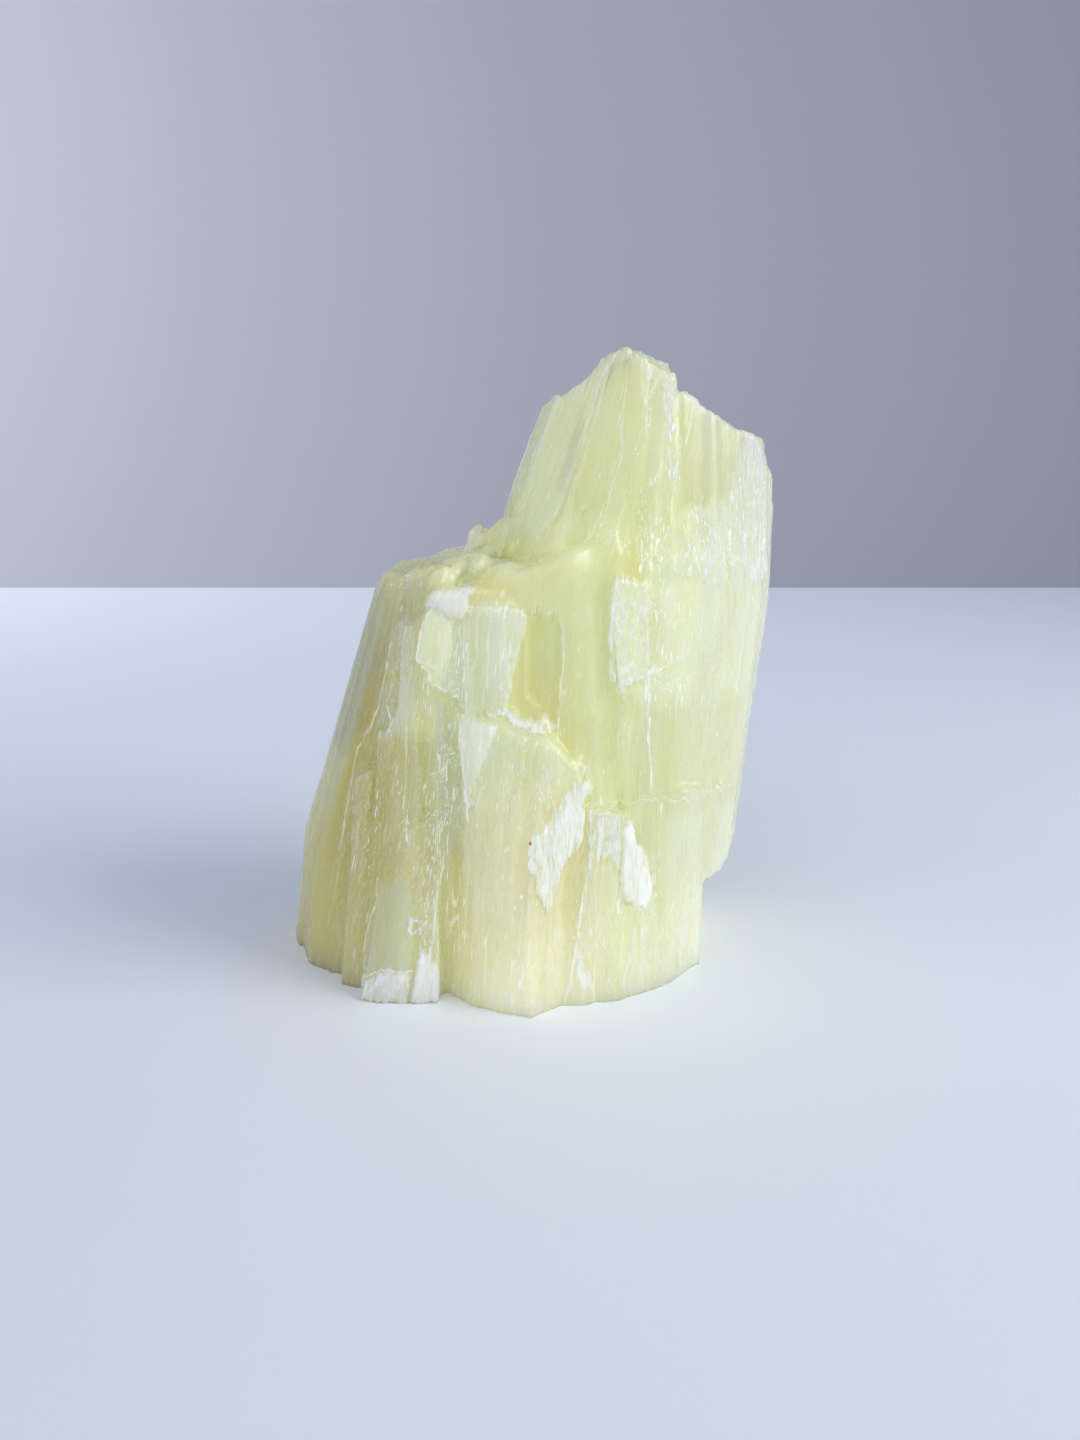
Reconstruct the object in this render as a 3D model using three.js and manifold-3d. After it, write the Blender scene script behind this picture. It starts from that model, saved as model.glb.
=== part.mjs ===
// A broken chunk of fibrous lemon calcite standing on its fractured foot.
//
// The stone is one solid. It is put together the way it splits: long blades that follow the grain, each
// ending in a broken crest, laid against one tall wedge that carries the peak. Every blade is ribbed along
// the grain, and the ribs stop in small ledges.
//
// Millimetres, +Z up, +X to the right and +Y to the back. The origin is the middle of the bounding box's
// bottom face.

import * as THREE from "three";
import { ConvexGeometry } from "three/addons/geometries/ConvexGeometry.js";
import { mergeVertices } from "three/addons/utils/BufferGeometryUtils.js";
import Module from "manifold-3d";

const wasm = await Module();
wasm.setup();

// Driving dimensions
const BURIED = -4; // the blades start this far below the foot's plane, and are cut off level
const RIB_WIDTH = 4.2; // mean width of a rib across the grain
const RIB_STEP = 0.4; // how far a rib stands proud of its neighbours or lies behind them
const RIB_EDGE = 0.18; // width of the step between two ribs
const LEDGE_RUN = 0.012; // height of a ledge where a rib breaks off, as a share of the blade
const HACKLE = 0.7; // roughness of a broken crest
const CREST_CELL = 4; // size of a crest's facets
const CREST_MARGIN = 7; // how far the break reaches past the crest's corners
const REACH = 14; // how far a blade runs on above its crest before the crest is broken off
const STONE_COLOUR = 0xd9dc9b;
const STONE_ROUGHNESS = 0.5;

// The triangles of the largest closed skin in an indexed mesh. The blades meet rib against rib, so the
// joined stone has small hollows inside it, and this leaves them filled.
function outerSkin(triangles, vertexCount) {
  const group = Array.from({ length: vertexCount }, (_, i) => i);
  const find = (i) => {
    while (group[i] !== i) i = group[i] = group[group[i]];
    return i;
  };
  for (let i = 0; i < triangles.length; i += 3) {
    group[find(triangles[i])] = find(triangles[i + 1]);
    group[find(triangles[i + 1])] = find(triangles[i + 2]);
  }
  const size = new Map();
  for (const i of triangles) size.set(find(i), (size.get(find(i)) ?? 0) + 1);
  const [largest] = [...size].sort((a, b) => b[1] - a[1])[0];
  const kept = [];
  for (let i = 0; i < triangles.length; i += 3)
    if (find(triangles[i]) === largest) kept.push(...triangles.slice(i, i + 3));
  return kept;
}

// A small seeded generator, so that the stone is the same each time.
function randomFrom(seed) {
  let state = seed * 2654435761;
  return () => {
    state = (state + 0x6d2b79f5) | 0;
    let t = Math.imul(state ^ (state >>> 15), 1 | state);
    t = (t + Math.imul(t ^ (t >>> 7), 61 | t)) ^ t;
    return ((t ^ (t >>> 14)) >>> 0) / 4294967296;
  };
}

// A geometry with nothing but positions, its shared corners merged.
function plain(geometry) {
  geometry.deleteAttribute("normal");
  geometry.deleteAttribute("uv");
  return mergeVertices(geometry, 1e-4);
}

// A closed geometry as a manifold-3d solid.
function solid(geometry) {
  const merged = plain(geometry);
  return new wasm.Manifold(
    new wasm.Mesh({
      numProp: 3,
      vertProperties: merged.getAttribute("position").array,
      triVerts: new Uint32Array(merged.index.array),
    }),
  );
}

const mean = (points) =>
  points
    .reduce((sum, p) => sum.add(p), new THREE.Vector3())
    .divideScalar(points.length);

// A point on a polyline of rings, with t = 0 on the first ring and t = 1 on the last.
function along(rings, t) {
  const place = THREE.MathUtils.clamp(t, 0, 1) * (rings.length - 1);
  const i = Math.min(Math.floor(place), rings.length - 2);
  return rings[i].clone().lerp(rings[i + 1], place - i);
}

// The heights at which one rib's surface changes: level steps that are slightly uneven, with a short step
// wherever the rib breaks off in a ledge.
function ribLevels(levels, random) {
  const heights = [];
  for (let j = 0; j <= levels; j++) {
    const uneven = j > 0 && j < levels ? 0.5 * (random() - 0.5) : 0;
    heights.push((j + uneven) / levels);
  }
  const ledge = 1 + Math.floor(random() * (levels - 1));
  if (ledge + 1 < levels && random() < 0.5)
    heights[ledge + 1] = heights[ledge] + LEDGE_RUN;
  return heights;
}

// What breaks away above a crest: a block whose underside is a rough sheet through the crest's corners.
function broken(random, corners, hackle, crown) {
  const centre = mean(corners);
  const radius = Math.max(...corners.map((p) => p.distanceTo(centre)));
  const height = (x, y) => {
    let total = 0;
    let weights = 0;
    for (const p of corners) {
      const weight = 1 / (1 + (p.x - x) ** 2 + (p.y - y) ** 2) ** 1.5;
      total += weight * p.z;
      weights += weight;
    }
    const share = Math.hypot(x - centre.x, y - centre.y) / radius;
    return total / weights + crown * (1 - share * share);
  };
  const box = new THREE.Box3().setFromPoints(corners).expandByScalar(CREST_MARGIN);
  const size = box.getSize(new THREE.Vector3());
  const across = Math.ceil(size.x / CREST_CELL);
  const deep = Math.ceil(size.y / CREST_CELL);
  const sheet = new THREE.BoxGeometry(size.x, size.y, 1, across, deep, 1);
  sheet.translate(centre.x, centre.y, 0);
  const solidSheet = plain(sheet);
  const position = solidSheet.getAttribute("position");
  for (let i = 0; i < position.count; i++) {
    const x = position.getX(i) + 0.7 * CREST_CELL * (random() - 0.5);
    const y = position.getY(i) + 0.7 * CREST_CELL * (random() - 0.5);
    const rough = hackle * (2 * random() - 1);
    const above = position.getZ(i) > 0;
    position.setXYZ(i, x, y, above ? centre.z + REACH * 3 : height(x, y) + rough);
  }
  return solid(solidSheet);
}

// One blade. Its rings are outlines of the same number of [x, y, z] corners, anticlockwise from above, from
// the foot to the crest. Between two corners the surface is split into ribs that run from ring to ring.
function blade(seed, rings, options = {}) {
  const {
    rib = RIB_WIDTH,
    step = RIB_STEP,
    levels = 4,
    hackle = HACKLE,
    crown = 0,
  } = options;
  const random = randomFrom(seed);
  const corners = rings.map((ring) => ring.map((p) => new THREE.Vector3(...p)));
  const axis = corners.map(mean);
  const columns = [];
  corners[0].forEach((_, i) => {
    const next = (i + 1) % corners[0].length;
    const widest = Math.max(
      ...corners.map((ring) => ring[i].distanceTo(ring[next])),
    );
    const count = Math.max(1, Math.round(widest / rib));
    const cuts = [0];
    for (let k = 1; k < count; k++)
      cuts.push((k + 0.6 * (random() - 0.5)) / count);
    cuts.push(1);
    for (let k = 0; k < count; k++) {
      const heights = ribLevels(levels, random);
      const proud = heights.map(() => 0);
      let offset = step * (2 * random() - 1);
      heights.forEach((t, j) => {
        const ledge = j > 0 && t - heights[j - 1] < 2 * LEDGE_RUN;
        offset += step * (ledge ? -0.9 - 0.6 * random() : 0.5 * (random() - 0.5));
        proud[j] = offset;
      });
      const edge = RIB_EDGE / widest;
      for (const s of [cuts[k] + edge, cuts[k + 1] - edge])
        columns.push({
          rings: corners.map((ring) => ring[i].clone().lerp(ring[next], s)),
          heights,
          proud,
        });
    }
  });

  const points = [];
  for (let j = 0; j <= levels; j++)
    for (const column of columns) {
      const t = column.heights[j];
      const point = along(column.rings, t);
      const outward = point.clone().sub(along(axis, t)).setZ(0);
      point.addScaledVector(outward.normalize(), column.proud[j]);
      points.push(point);
    }
  const n = columns.length;
  columns.forEach((column, i) => {
    const [before, last] = column.rings.slice(-2);
    const onward = last.clone().sub(before);
    const crest = points[levels * n + i];
    points.push(crest.clone().addScaledVector(onward, REACH / onward.z));
  });
  const rows = levels + 2;
  points.push(mean(points.slice(0, n)), mean(points.slice(-n)));

  const index = [];
  for (let i = 0; i < n; i++) {
    const k = (i + 1) % n;
    for (let j = 0; j < rows - 1; j++) {
      const [a, b, c, d] = [j * n + i, j * n + k, (j + 1) * n + k, (j + 1) * n + i];
      index.push(a, b, c, a, c, d);
    }
    index.push(rows * n, k, i);
    index.push((rows - 1) * n + i, (rows - 1) * n + k, rows * n + 1);
  }
  const geometry = new THREE.BufferGeometry();
  geometry.setFromPoints(points);
  geometry.setIndex(index);
  return solid(geometry).subtract(broken(random, corners.at(-1), hackle, crown));
}

// A sharp-cornered convex body through the given corners.
function facets(corners) {
  return solid(new ConvexGeometry(corners.map((p) => new THREE.Vector3(...p))));
}

// A loose-looking chip with a centre, three half sizes and its own random facets.
function chip(seed, [x, y, z], [rx, ry, rz]) {
  const random = randomFrom(seed);
  const corners = [];
  for (let i = 0; i < 16; i++) {
    const up = 1 - (2 * (i + 0.5)) / 16;
    const turn = i * 2.4 + 0.8 * random();
    const flat = Math.sqrt(1 - up * up) * (0.75 + 0.4 * random());
    corners.push([
      x + rx * flat * Math.cos(turn),
      y + ry * flat * Math.sin(turn),
      z + rz * up,
    ]);
  }
  return facets(corners);
}

const F = BURIED;
const pieces = [
  // The tall wedge that carries the peak and the right shoulder. The ring starts at the ridge on its left.
  blade(
    11,
    [
      [
        [-24, -14, F],
        [0, -20, F],
        [19, -18.5, F],
        [27, -13.5, F],
        [33.5, -7, F],
        [35.5, 2, F],
        [33, 13, F],
        [22, 21, F],
        [4, 25, F],
        [-16, 23, F],
        [-30, 12, F],
        [-34, -2, F],
      ],
      [
        [-1.2, -12.5, 62],
        [11.5, -14.5, 62],
        [22.6, -13.5, 62],
        [32.5, -8.5, 62],
        [40, -1.5, 62],
        [42.8, 5, 62],
        [39.5, 15, 62],
        [27, 21, 62],
        [12, 23, 62],
        [-3, 19, 62],
        [-8.6, 9.5, 62],
        [-8, 0, 62],
      ],
      [
        [12.8, -8.5, 101],
        [17.5, -9.5, 103.4],
        [24.6, -8.5, 96],
        [31, -6, 92.6],
        [39, -0.5, 89.6],
        [43.2, 6, 83],
        [39, 15, 84],
        [29, 19, 89],
        [17, 19.5, 93],
        [8.5, 14, 94],
        [3.4, 5, 95.4],
        [7.4, -1, 97.4],
      ],
    ],
    { levels: 6, crown: 0.5, hackle: 1.2 },
  ),
  // The narrow tooth on top of the peak.
  blade(
    12,
    [
      [
        [6, -9.5, 80],
        [23, -10.5, 80],
        [26, -2, 80],
        [18, 6, 80],
        [4, 5, 80],
      ],
      [
        [14.4, -7.6, 101.6],
        [23.6, -8, 99.6],
        [23, -3, 100.4],
        [18.8, 1, 103],
        [16.2, -2, 103.2],
      ],
    ],
    { levels: 3, crown: 0.8, hackle: 0.4 },
  ),
  // The left slab, set back, with its level shoulder.
  blade(
    13,
    [
      [
        [-42.6, 1, F],
        [-38.5, -9, F],
        [-30, -15.5, F],
        [-12, -12, F],
        [-8, 12, F],
        [-20, 23, F],
        [-34, 16, F],
        [-41.5, 9, F],
      ],
      [
        [-40.2, 2, 20],
        [-36.4, -7.6, 20],
        [-28.6, -13.6, 20],
        [-11, -10, 20],
        [-7, 12, 20],
        [-17, 22, 20],
        [-30.5, 16, 20],
        [-38, 9.5, 20],
      ],
      [
        [-24.6, 2, 67],
        [-22.6, -4, 67.4],
        [-18, -8.5, 66.4],
        [-9, -7, 69],
        [-3, 8, 73.6],
        [-6, 15, 72],
        [-15, 14.5, 70],
        [-22.2, 9, 68.6],
      ],
    ],
    { levels: 6, hackle: 1 },
  ),
  // Three front blades on the left, each shorter than the one behind it.
  blade(14, [
    [
      [-24, -18.4, F],
      [-10, -20.4, F],
      [2, -18, F],
      [0, -8, F],
      [-22, -6, F],
    ],
    [
      [-18.6, -14.4, 62],
      [-13, -16.8, 65],
      [-2, -16, 68.5],
      [-2, -6, 70],
      [-15.5, -5, 66],
    ],
  ]),
  blade(15, [
    [
      [-27, -18.6, F],
      [-16, -20.8, F],
      [-13, -12, F],
      [-25, -9, F],
    ],
    [
      [-22.8, -14.6, 44],
      [-17, -17.2, 49],
      [-14, -12, 51],
      [-22, -8, 46],
    ],
  ]),
  blade(16, [
    [
      [-31.2, -16.8, F],
      [-21, -21.4, F],
      [-17, -12, F],
      [-29, -8, F],
    ],
    [
      [-27, -13.4, 35],
      [-20, -17.2, 39],
      [-18, -12, 42],
      [-26.5, -8, 38],
    ],
  ]),
  // The front slab that ends in a shell-shaped break under the peak.
  blade(17, [
    [
      [-12, -21, F],
      [2, -23.4, F],
      [16, -21.8, F],
      [24, -16.8, F],
      [28, -6, F],
      [-8, -4, F],
    ],
    [
      [-7, -16, 66.5],
      [2, -17.2, 71],
      [10, -14.6, 73],
      [18, -11.4, 76],
      [22, -5, 78],
      [-6, -4, 71],
    ],
  ]),
  // The upper left block, broken off below.
  blade(
    18,
    [
      [
        [-15.6, -17, 57],
        [-12.5, -18.4, 52.5],
        [-9.4, -19.2, 49],
        [-2, -19.6, 44],
        [0.6, -17.4, 46],
        [-4, -12, 48],
        [-14, -12, 56],
      ],
      [
        [-14.4, -16.6, 65.8],
        [-11.6, -18.6, 68],
        [-6, -18.8, 68.3],
        [-2.8, -18.6, 66.4],
        [0.6, -17.4, 64.2],
        [-3, -12, 68],
        [-13, -12, 67.5],
      ],
    ],
    { rib: 3, step: 0.2, levels: 3, hackle: 0.3 },
  ),
  // The front lower block, the foremost point of the foot.
  blade(
    19,
    [
      [
        [-12, -20.6, F],
        [-7.6, -24.4, F],
        [1.4, -28.2, F],
        [7, -23.6, F],
        [5, -16, F],
        [-9, -15, F],
      ],
      [
        [-9.6, -20.4, 20],
        [-7, -23.6, 20],
        [0.8, -25.8, 20],
        [6, -22.6, 20],
        [6, -16, 20],
        [-8, -15, 20],
      ],
      [
        [-10, -19.6, 48],
        [-7, -21.2, 48.6],
        [3.6, -21.4, 45.6],
        [10.6, -19.6, 39.4],
        [8, -14, 42],
        [-8, -14, 48],
      ],
    ],
    { rib: 3.2, step: 0.2, levels: 5, hackle: 0.4 },
  ),
  // The low block on the right with a curved top edge.
  blade(
    20,
    [
      [
        [0, -23, F],
        [9, -24.2, F],
        [17, -21.9, F],
        [24.6, -17, F],
        [20, -10, F],
        [2, -12, F],
      ],
      [
        [6, -19.6, 33],
        [12, -21.4, 34.2],
        [16.8, -20.4, 32.6],
        [21.6, -18.2, 18.6],
        [19, -10, 28],
        [7, -12, 34],
      ],
    ],
    { rib: 3.2, step: 0.25, levels: 4, hackle: 0.5 },
  ),
  // The short slab at the lower left with a crumbled bottom edge.
  blade(
    21,
    [
      [
        [-27.4, -22.6, F],
        [-19.9, -24.8, F],
        [-13.6, -23, F],
        [-12, -14, F],
        [-25, -14, F],
      ],
      [
        [-22.6, -17.6, 24],
        [-18, -19.4, 29],
        [-13, -19.6, 33],
        [-12.5, -14, 33],
        [-21, -14, 26],
      ],
    ],
    { rib: 3, step: 0.2, levels: 3, hackle: 0.6 },
  ),
  // The thin flake on the right of the front face.
  blade(
    22,
    [
      [
        [15, -17.1, 51],
        [20, -14.6, 49],
        [21, -10, 50],
        [15.4, -11, 50],
      ],
      [
        [13.6, -14.4, 69.6],
        [20.4, -12, 69.6],
        [21, -8, 69],
        [14, -10, 69],
      ],
    ],
    { rib: 3, step: 0.1, levels: 2, hackle: 0.2 },
  ),
  // The lower right foot.
  blade(23, [
    [
      [20, -19, F],
      [25, -16.2, F],
      [30.6, -9, F],
      [32, -3, F],
      [30.4, 8, F],
      [15, 6, F],
    ],
    [
      [21, -16, 32],
      [27, -14.4, 34],
      [33.5, -8.4, 33],
      [37.4, -2, 31],
      [34, 8, 30],
      [18, 4, 34],
    ],
  ]),
  // The back: one tall slab, one of middle height and two low ones.
  blade(24, [
    [
      [24, 18, F],
      [18, 27, F],
      [4, 29.5, F],
      [-6, 27, F],
      [-2, 14, F],
      [18, 10, F],
    ],
    [
      [30, 17.5, 74],
      [25, 22.8, 80],
      [15, 25, 83],
      [7, 22, 79],
      [9, 14, 80],
      [24, 12, 78],
    ],
  ]),
  blade(25, [
    [
      [-2, 24, F],
      [-10, 28, F],
      [-22, 26, F],
      [-28, 18, F],
      [-22, 8, F],
      [-4, 12, F],
    ],
    [
      [2, 20.6, 54],
      [-4, 23.2, 57],
      [-12, 21.8, 60],
      [-17, 16, 57],
      [-12, 8, 58],
      [0, 12, 56],
    ],
  ]),
  blade(26, [
    [
      [34, 6, F],
      [33, 16, F],
      [26, 23, F],
      [18, 22, F],
      [20, 8, F],
    ],
    [
      [38.6, 8, 40],
      [37, 17.6, 44],
      [30, 22.6, 47],
      [24, 20, 44],
      [26, 10, 44],
    ],
  ]),
  blade(27, [
    [
      [12, 26, F],
      [2, 31, F],
      [-9, 30, F],
      [-12, 22, F],
      [8, 18, F],
    ],
    [
      [13, 25, 24],
      [6, 28.4, 29],
      [-4, 27.6, 32],
      [-7, 21, 30],
      [9, 18, 27],
    ],
  ]),
];

// Smooth lobes of the shell-shaped break below the peak.
const lobes = [
  [
    [-2.6, -12.4, 67.6],
    [5, 4.6, 3.4],
  ],
  [
    [4.8, -12, 69.2],
    [6.6, 5, 3],
  ],
];
for (const [[x, y, z], [rx, ry, rz]] of lobes) {
  const lobe = new THREE.SphereGeometry(1, 18, 10);
  lobe.scale(rx, ry, rz).rotateY(-0.25).translate(x, y, z);
  pieces.push(solid(lobe));
}

// Rubble in the saddle between the shoulder and the peak, climbing to the right and to the back.
const rubble = randomFrom(41);
for (let k = 0; k < 12; k++) {
  const t = k / 11;
  const size = 1.8 + 1.6 * rubble();
  const centre = [
    -14 + 12.5 * t + 2 * (rubble() - 0.5),
    -12 + 14 * rubble(),
    67.5 + 7.5 * t * t + 1.2 * (rubble() - 0.5),
  ];
  pieces.push(chip(60 + k, centre, [1.2 * size, 1.3 * size, size]));
}

pieces.push(chip(80, [-7.3, 0, 73.8], [2.2, 3, 2.7]));

let stone = pieces.reduce((whole, piece) => whole.add(piece));

// Breaks that are cut away.
const breaks = [
  // the deep hollow between the upper left block and the front ridge
  facets([
    [-1, -24, 49.5],
    [8.6, -24, 49],
    [8.6, -24, 60],
    [5, -24, 66],
    [-1, -24, 64],
    [1.2, -17.2, 50],
    [5.4, -18, 49],
    [6, -17.4, 58],
    [3.4, -16.4, 63.5],
    [1.4, -16.4, 61],
  ]),
  // the undercut at the lower right
  facets([
    [31.6, -30, -9],
    [31.6, 7, -9],
    [34.6, 13, -9],
    [31.4, -30, 13.6],
    [31.8, 6, 12],
    [34.6, -30, 16],
    [35.6, 12, 9],
    [37.2, -30, 21],
    [38.4, 9, 18],
    [44, -30, 29],
    [44, 12, 24],
    [44, -30, -9],
    [44, 17, -9],
  ]),
  // the step at the top of the undercut
  facets([
    [31.1, -30, -9],
    [31.3, 5, -9],
    [31, -30, 16.4],
    [31.5, 5, 14.8],
    [34.5, -30, 17.4],
    [34.8, 8, 15.6],
    [44, -30, 17],
    [44, 10, 15],
    [44, -30, -9],
    [44, 12, -9],
  ]),
  // the crumbled bottom edges, front left and right of the middle
  facets([
    [-28, -30, -9],
    [-11, -30, -9],
    [-27.5, -30, 9],
    [-11.5, -30, 7.6],
    [-26, -22.6, -9],
    [-13, -22.6, -9],
    [-26.2, -22.8, 1.2],
    [-12.8, -22.6, 0.6],
    [-19, -24, 6.6],
  ]),
  facets([
    [9.5, -32, -9],
    [15, -32, -9],
    [10.5, -32, 10],
    [14, -32, 8],
    [11, -22.4, -9],
    [14.6, -21.4, -9],
    [12, -23, 5],
  ]),
];
for (const cut of breaks) stone = stone.subtract(cut);

// The foot stands level.
const ground = new THREE.BoxGeometry(200, 200, 40);
ground.translate(0, 0, -20);
stone = stone.subtract(solid(ground));

const mesh = stone.getMesh();
let surface = new THREE.BufferGeometry();
surface.setAttribute(
  "position",
  new THREE.BufferAttribute(new Float32Array(mesh.vertProperties), 3),
);
surface.setIndex(outerSkin(mesh.triVerts, mesh.vertProperties.length / 3));
surface.computeBoundingBox();
const { min, max } = surface.boundingBox;
surface.translate(-(min.x + max.x) / 2, -(min.y + max.y) / 2, -min.z);
surface = surface.toNonIndexed();
surface.computeVertexNormals();

const calcite = new THREE.Mesh(
  surface,
  new THREE.MeshStandardMaterial({
    color: STONE_COLOUR,
    roughness: STONE_ROUGHNESS,
    metalness: 0,
    flatShading: true,
  }),
);
calcite.name = "calcite_chunk";

const chunk = new THREE.Group();
chunk.name = "lemon_calcite";
chunk.add(calcite);

export default chunk;
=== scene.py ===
import math

import bmesh
import bpy
import numpy as np
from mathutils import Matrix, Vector
from mathutils.bvhtree import BVHTree


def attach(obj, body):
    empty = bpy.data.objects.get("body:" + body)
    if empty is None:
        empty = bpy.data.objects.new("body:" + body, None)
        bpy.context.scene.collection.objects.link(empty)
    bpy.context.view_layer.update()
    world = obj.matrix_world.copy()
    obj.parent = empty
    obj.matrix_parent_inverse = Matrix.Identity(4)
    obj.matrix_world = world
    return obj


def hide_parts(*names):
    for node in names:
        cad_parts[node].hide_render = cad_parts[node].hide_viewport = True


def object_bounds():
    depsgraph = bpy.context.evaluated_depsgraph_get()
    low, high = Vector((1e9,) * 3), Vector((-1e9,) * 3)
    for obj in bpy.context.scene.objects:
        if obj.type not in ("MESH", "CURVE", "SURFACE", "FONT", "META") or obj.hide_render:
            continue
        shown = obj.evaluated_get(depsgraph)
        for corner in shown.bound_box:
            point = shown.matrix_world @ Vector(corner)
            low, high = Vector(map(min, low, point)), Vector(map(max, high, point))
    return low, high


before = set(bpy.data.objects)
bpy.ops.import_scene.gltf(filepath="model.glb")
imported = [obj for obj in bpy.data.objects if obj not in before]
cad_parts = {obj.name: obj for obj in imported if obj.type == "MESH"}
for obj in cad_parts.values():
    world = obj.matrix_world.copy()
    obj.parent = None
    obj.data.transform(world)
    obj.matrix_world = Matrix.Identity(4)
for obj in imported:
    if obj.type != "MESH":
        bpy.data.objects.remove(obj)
cad_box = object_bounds()
scene = bpy.context.scene

MM = 0.001
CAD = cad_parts["calcite_chunk"]

# ---------------------------------------------------------------- the grain
# The grain is a bundle of lines that lean to the right as they rise. A line is named by where it
# meets the foot, and runs with one lean up to KNEE and another from there to the peak.
KNEE = 65.0
LOWER_LEAN = ((-43, -30, -22, -10, 0, 16, 37), (0.26, 0.20, 0.13, 0.07, 0.05, 0.06, 0.09))
UPPER_LEAN = ((-25, -10, 0, 10, 20, 30, 43), (0.36, 0.36, 0.33, 0.2, 0.08, 0.02, 0.02))
WIDEST = 120.0    # mm: no grain line meets the foot further out
HALVINGS = 34     # of that width, until the foot of a line is found


def lean_right(foot, z):
    """Where a grain line that starts at foot is, z above the foot, in mm."""
    low = foot + np.minimum(z, KNEE) * np.interp(foot, *LOWER_LEAN)
    return low + np.maximum(z - KNEE, 0) * np.interp(low, *UPPER_LEAN)


def stand_up(x, z):
    """The foot of the grain line through x at height z."""
    low = np.full_like(x, -WIDEST)
    high = np.full_like(x, WIDEST)
    for _ in range(HALVINGS):
        middle = (low + high) / 2
        under = lean_right(middle, z) < x
        low, high = np.where(under, middle, low), np.where(under, high, middle)
    return (low + high) / 2


# ---------------------------------------------------------------- noise
MIX = (374761393, 668265263, 1274126177, 974634777)    # large odd numbers that scatter the bits


def lattice(cells, seed):
    """One repeatable gradient per lattice cell."""
    with np.errstate(over="ignore"):
        h = cells[:, 0].astype(np.int64) * MIX[0] + cells[:, 1].astype(np.int64) * MIX[1]
        h = h + cells[:, 2].astype(np.int64) * MIX[2] + seed * MIX[3]
        h = (h ^ (h >> 13)) * MIX[2]
        h = h ^ (h >> 16)
    a = (h & 0xFFFF) / 65535.0 * 2 * np.pi
    b = ((h >> 16) & 0xFFFF) / 65535.0 * 2 - 1
    r = np.sqrt(1 - b * b)
    return np.stack([r * np.cos(a), r * np.sin(a), b], 1)


def perlin(p, size, seed):
    """Smooth noise from about -1 to 1 at points p, with a cell of size (x, y, z)."""
    q = p / np.asarray(size, float) + 1000.0 + seed * 17.3
    base = np.floor(q)
    f = q - base
    w = f * f * f * (f * (f * 6 - 15) + 10)
    total = np.zeros(len(p))
    for dx in (0, 1):
        for dy in (0, 1):
            for dz in (0, 1):
                d = np.array([dx, dy, dz])
                g = lattice(base + d, seed)
                share = np.prod(np.where(d, w, 1 - w), 1)
                total += share * np.einsum("ij,ij->i", g, f - d)
    return total * 1.6


def ramp(v, a, b):
    """0 where v is below a, 1 where it is above b, and smooth between."""
    t = np.clip((v - a) / (b - a), 0, 1)
    return t * t * (3 - 2 * t)


def cells(q, seed):
    """Random cells around jittered lattice points. Gives for each point q, in cell units, three
    random numbers of its cell from -1 to 1, and its place from the cell's middle."""
    base = np.floor(q)
    first = np.full(len(q), 9.0)
    number = np.zeros((len(q), 3))
    place = np.zeros((len(q), 3))
    for dx in (-1, 0, 1):
        for dy in (-1, 0, 1):
            for dz in (-1, 0, 1):
                cell = base + (dx, dy, dz)
                away = q - cell - 0.5 - 0.42 * lattice(cell, seed)
                d = np.linalg.norm(away, axis=1)
                near = d < first
                first = np.where(near, d, first)
                number[near] = lattice(cell[near], seed + 1)
                place[near] = away[near]
    return number, place


# ---------------------------------------------------------------- the surface
VOXEL = 0.35    # mm across the grain
ALONG = 0.29    # voxels along the grain are 1 / ALONG times as long
FOOT = 0.35     # mm: what lies lower belongs to the level foot
CUTS = range(5, 105, 5)    # mm: heights at which the solid is cut before its grain is stood upright
REACH = 0.75    # mm: how far from an outline the mesh is made finer


def read(mesh):
    co = np.empty(len(mesh.vertices) * 3)
    mesh.vertices.foreach_get("co", co)
    return co.reshape(-1, 3)


def write(mesh, co):
    mesh.vertices.foreach_set("co", np.ascontiguousarray(co, dtype=np.float32).ravel())
    mesh.update()


def normals(mesh):
    n = np.empty(len(mesh.vertices) * 3)
    mesh.vertices.foreach_get("normal", n)
    return n.reshape(-1, 3)


def upright_copy():
    """The CAD solid with its grain stood upright and shortened, ready to be cut into voxels."""
    bm = bmesh.new()
    bm.from_mesh(CAD.data)
    bmesh.ops.remove_doubles(bm, verts=bm.verts, dist=1e-6)
    for z in CUTS:
        geom = bm.verts[:] + bm.edges[:] + bm.faces[:]
        bmesh.ops.bisect_plane(bm, geom=geom, plane_co=(0, 0, z * MM), plane_no=(0, 0, 1))
    bmesh.ops.triangulate(bm, faces=bm.faces)
    mesh = bpy.data.meshes.new("upright")
    bm.to_mesh(mesh)
    bm.free()
    co = read(mesh) / MM
    co[:, 0] = stand_up(co[:, 0], co[:, 2])
    co[:, 2] *= ALONG
    write(mesh, co * MM)
    return mesh


def voxelled(mesh):
    """The upright copy rebuilt from voxels, as one skin of even small faces."""
    o = bpy.data.objects.new("voxels", mesh)
    scene.collection.objects.link(o)
    m = o.modifiers.new("voxels", "REMESH")
    m.mode = "VOXEL"
    m.voxel_size = VOXEL * MM
    dg = bpy.context.evaluated_depsgraph_get()
    made = bpy.data.meshes.new_from_object(o.evaluated_get(dg))
    bpy.data.objects.remove(o)
    return made


def spread(mesh, values, rounds):
    """Averages values (n, k) over each vertex's edge neighbours."""
    e = np.empty(len(mesh.edges) * 2, int)
    mesh.edges.foreach_get("vertices", e)
    a, b = e.reshape(-1, 2).T
    size = len(values)
    count = np.bincount(a, minlength=size) + np.bincount(b, minlength=size)
    for _ in range(rounds):
        near = [np.bincount(a, v[b], size) + np.bincount(b, v[a], size) for v in values.T]
        values = 0.5 * values + 0.5 * np.stack(near, 1) / count[:, None]
    return values


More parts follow.
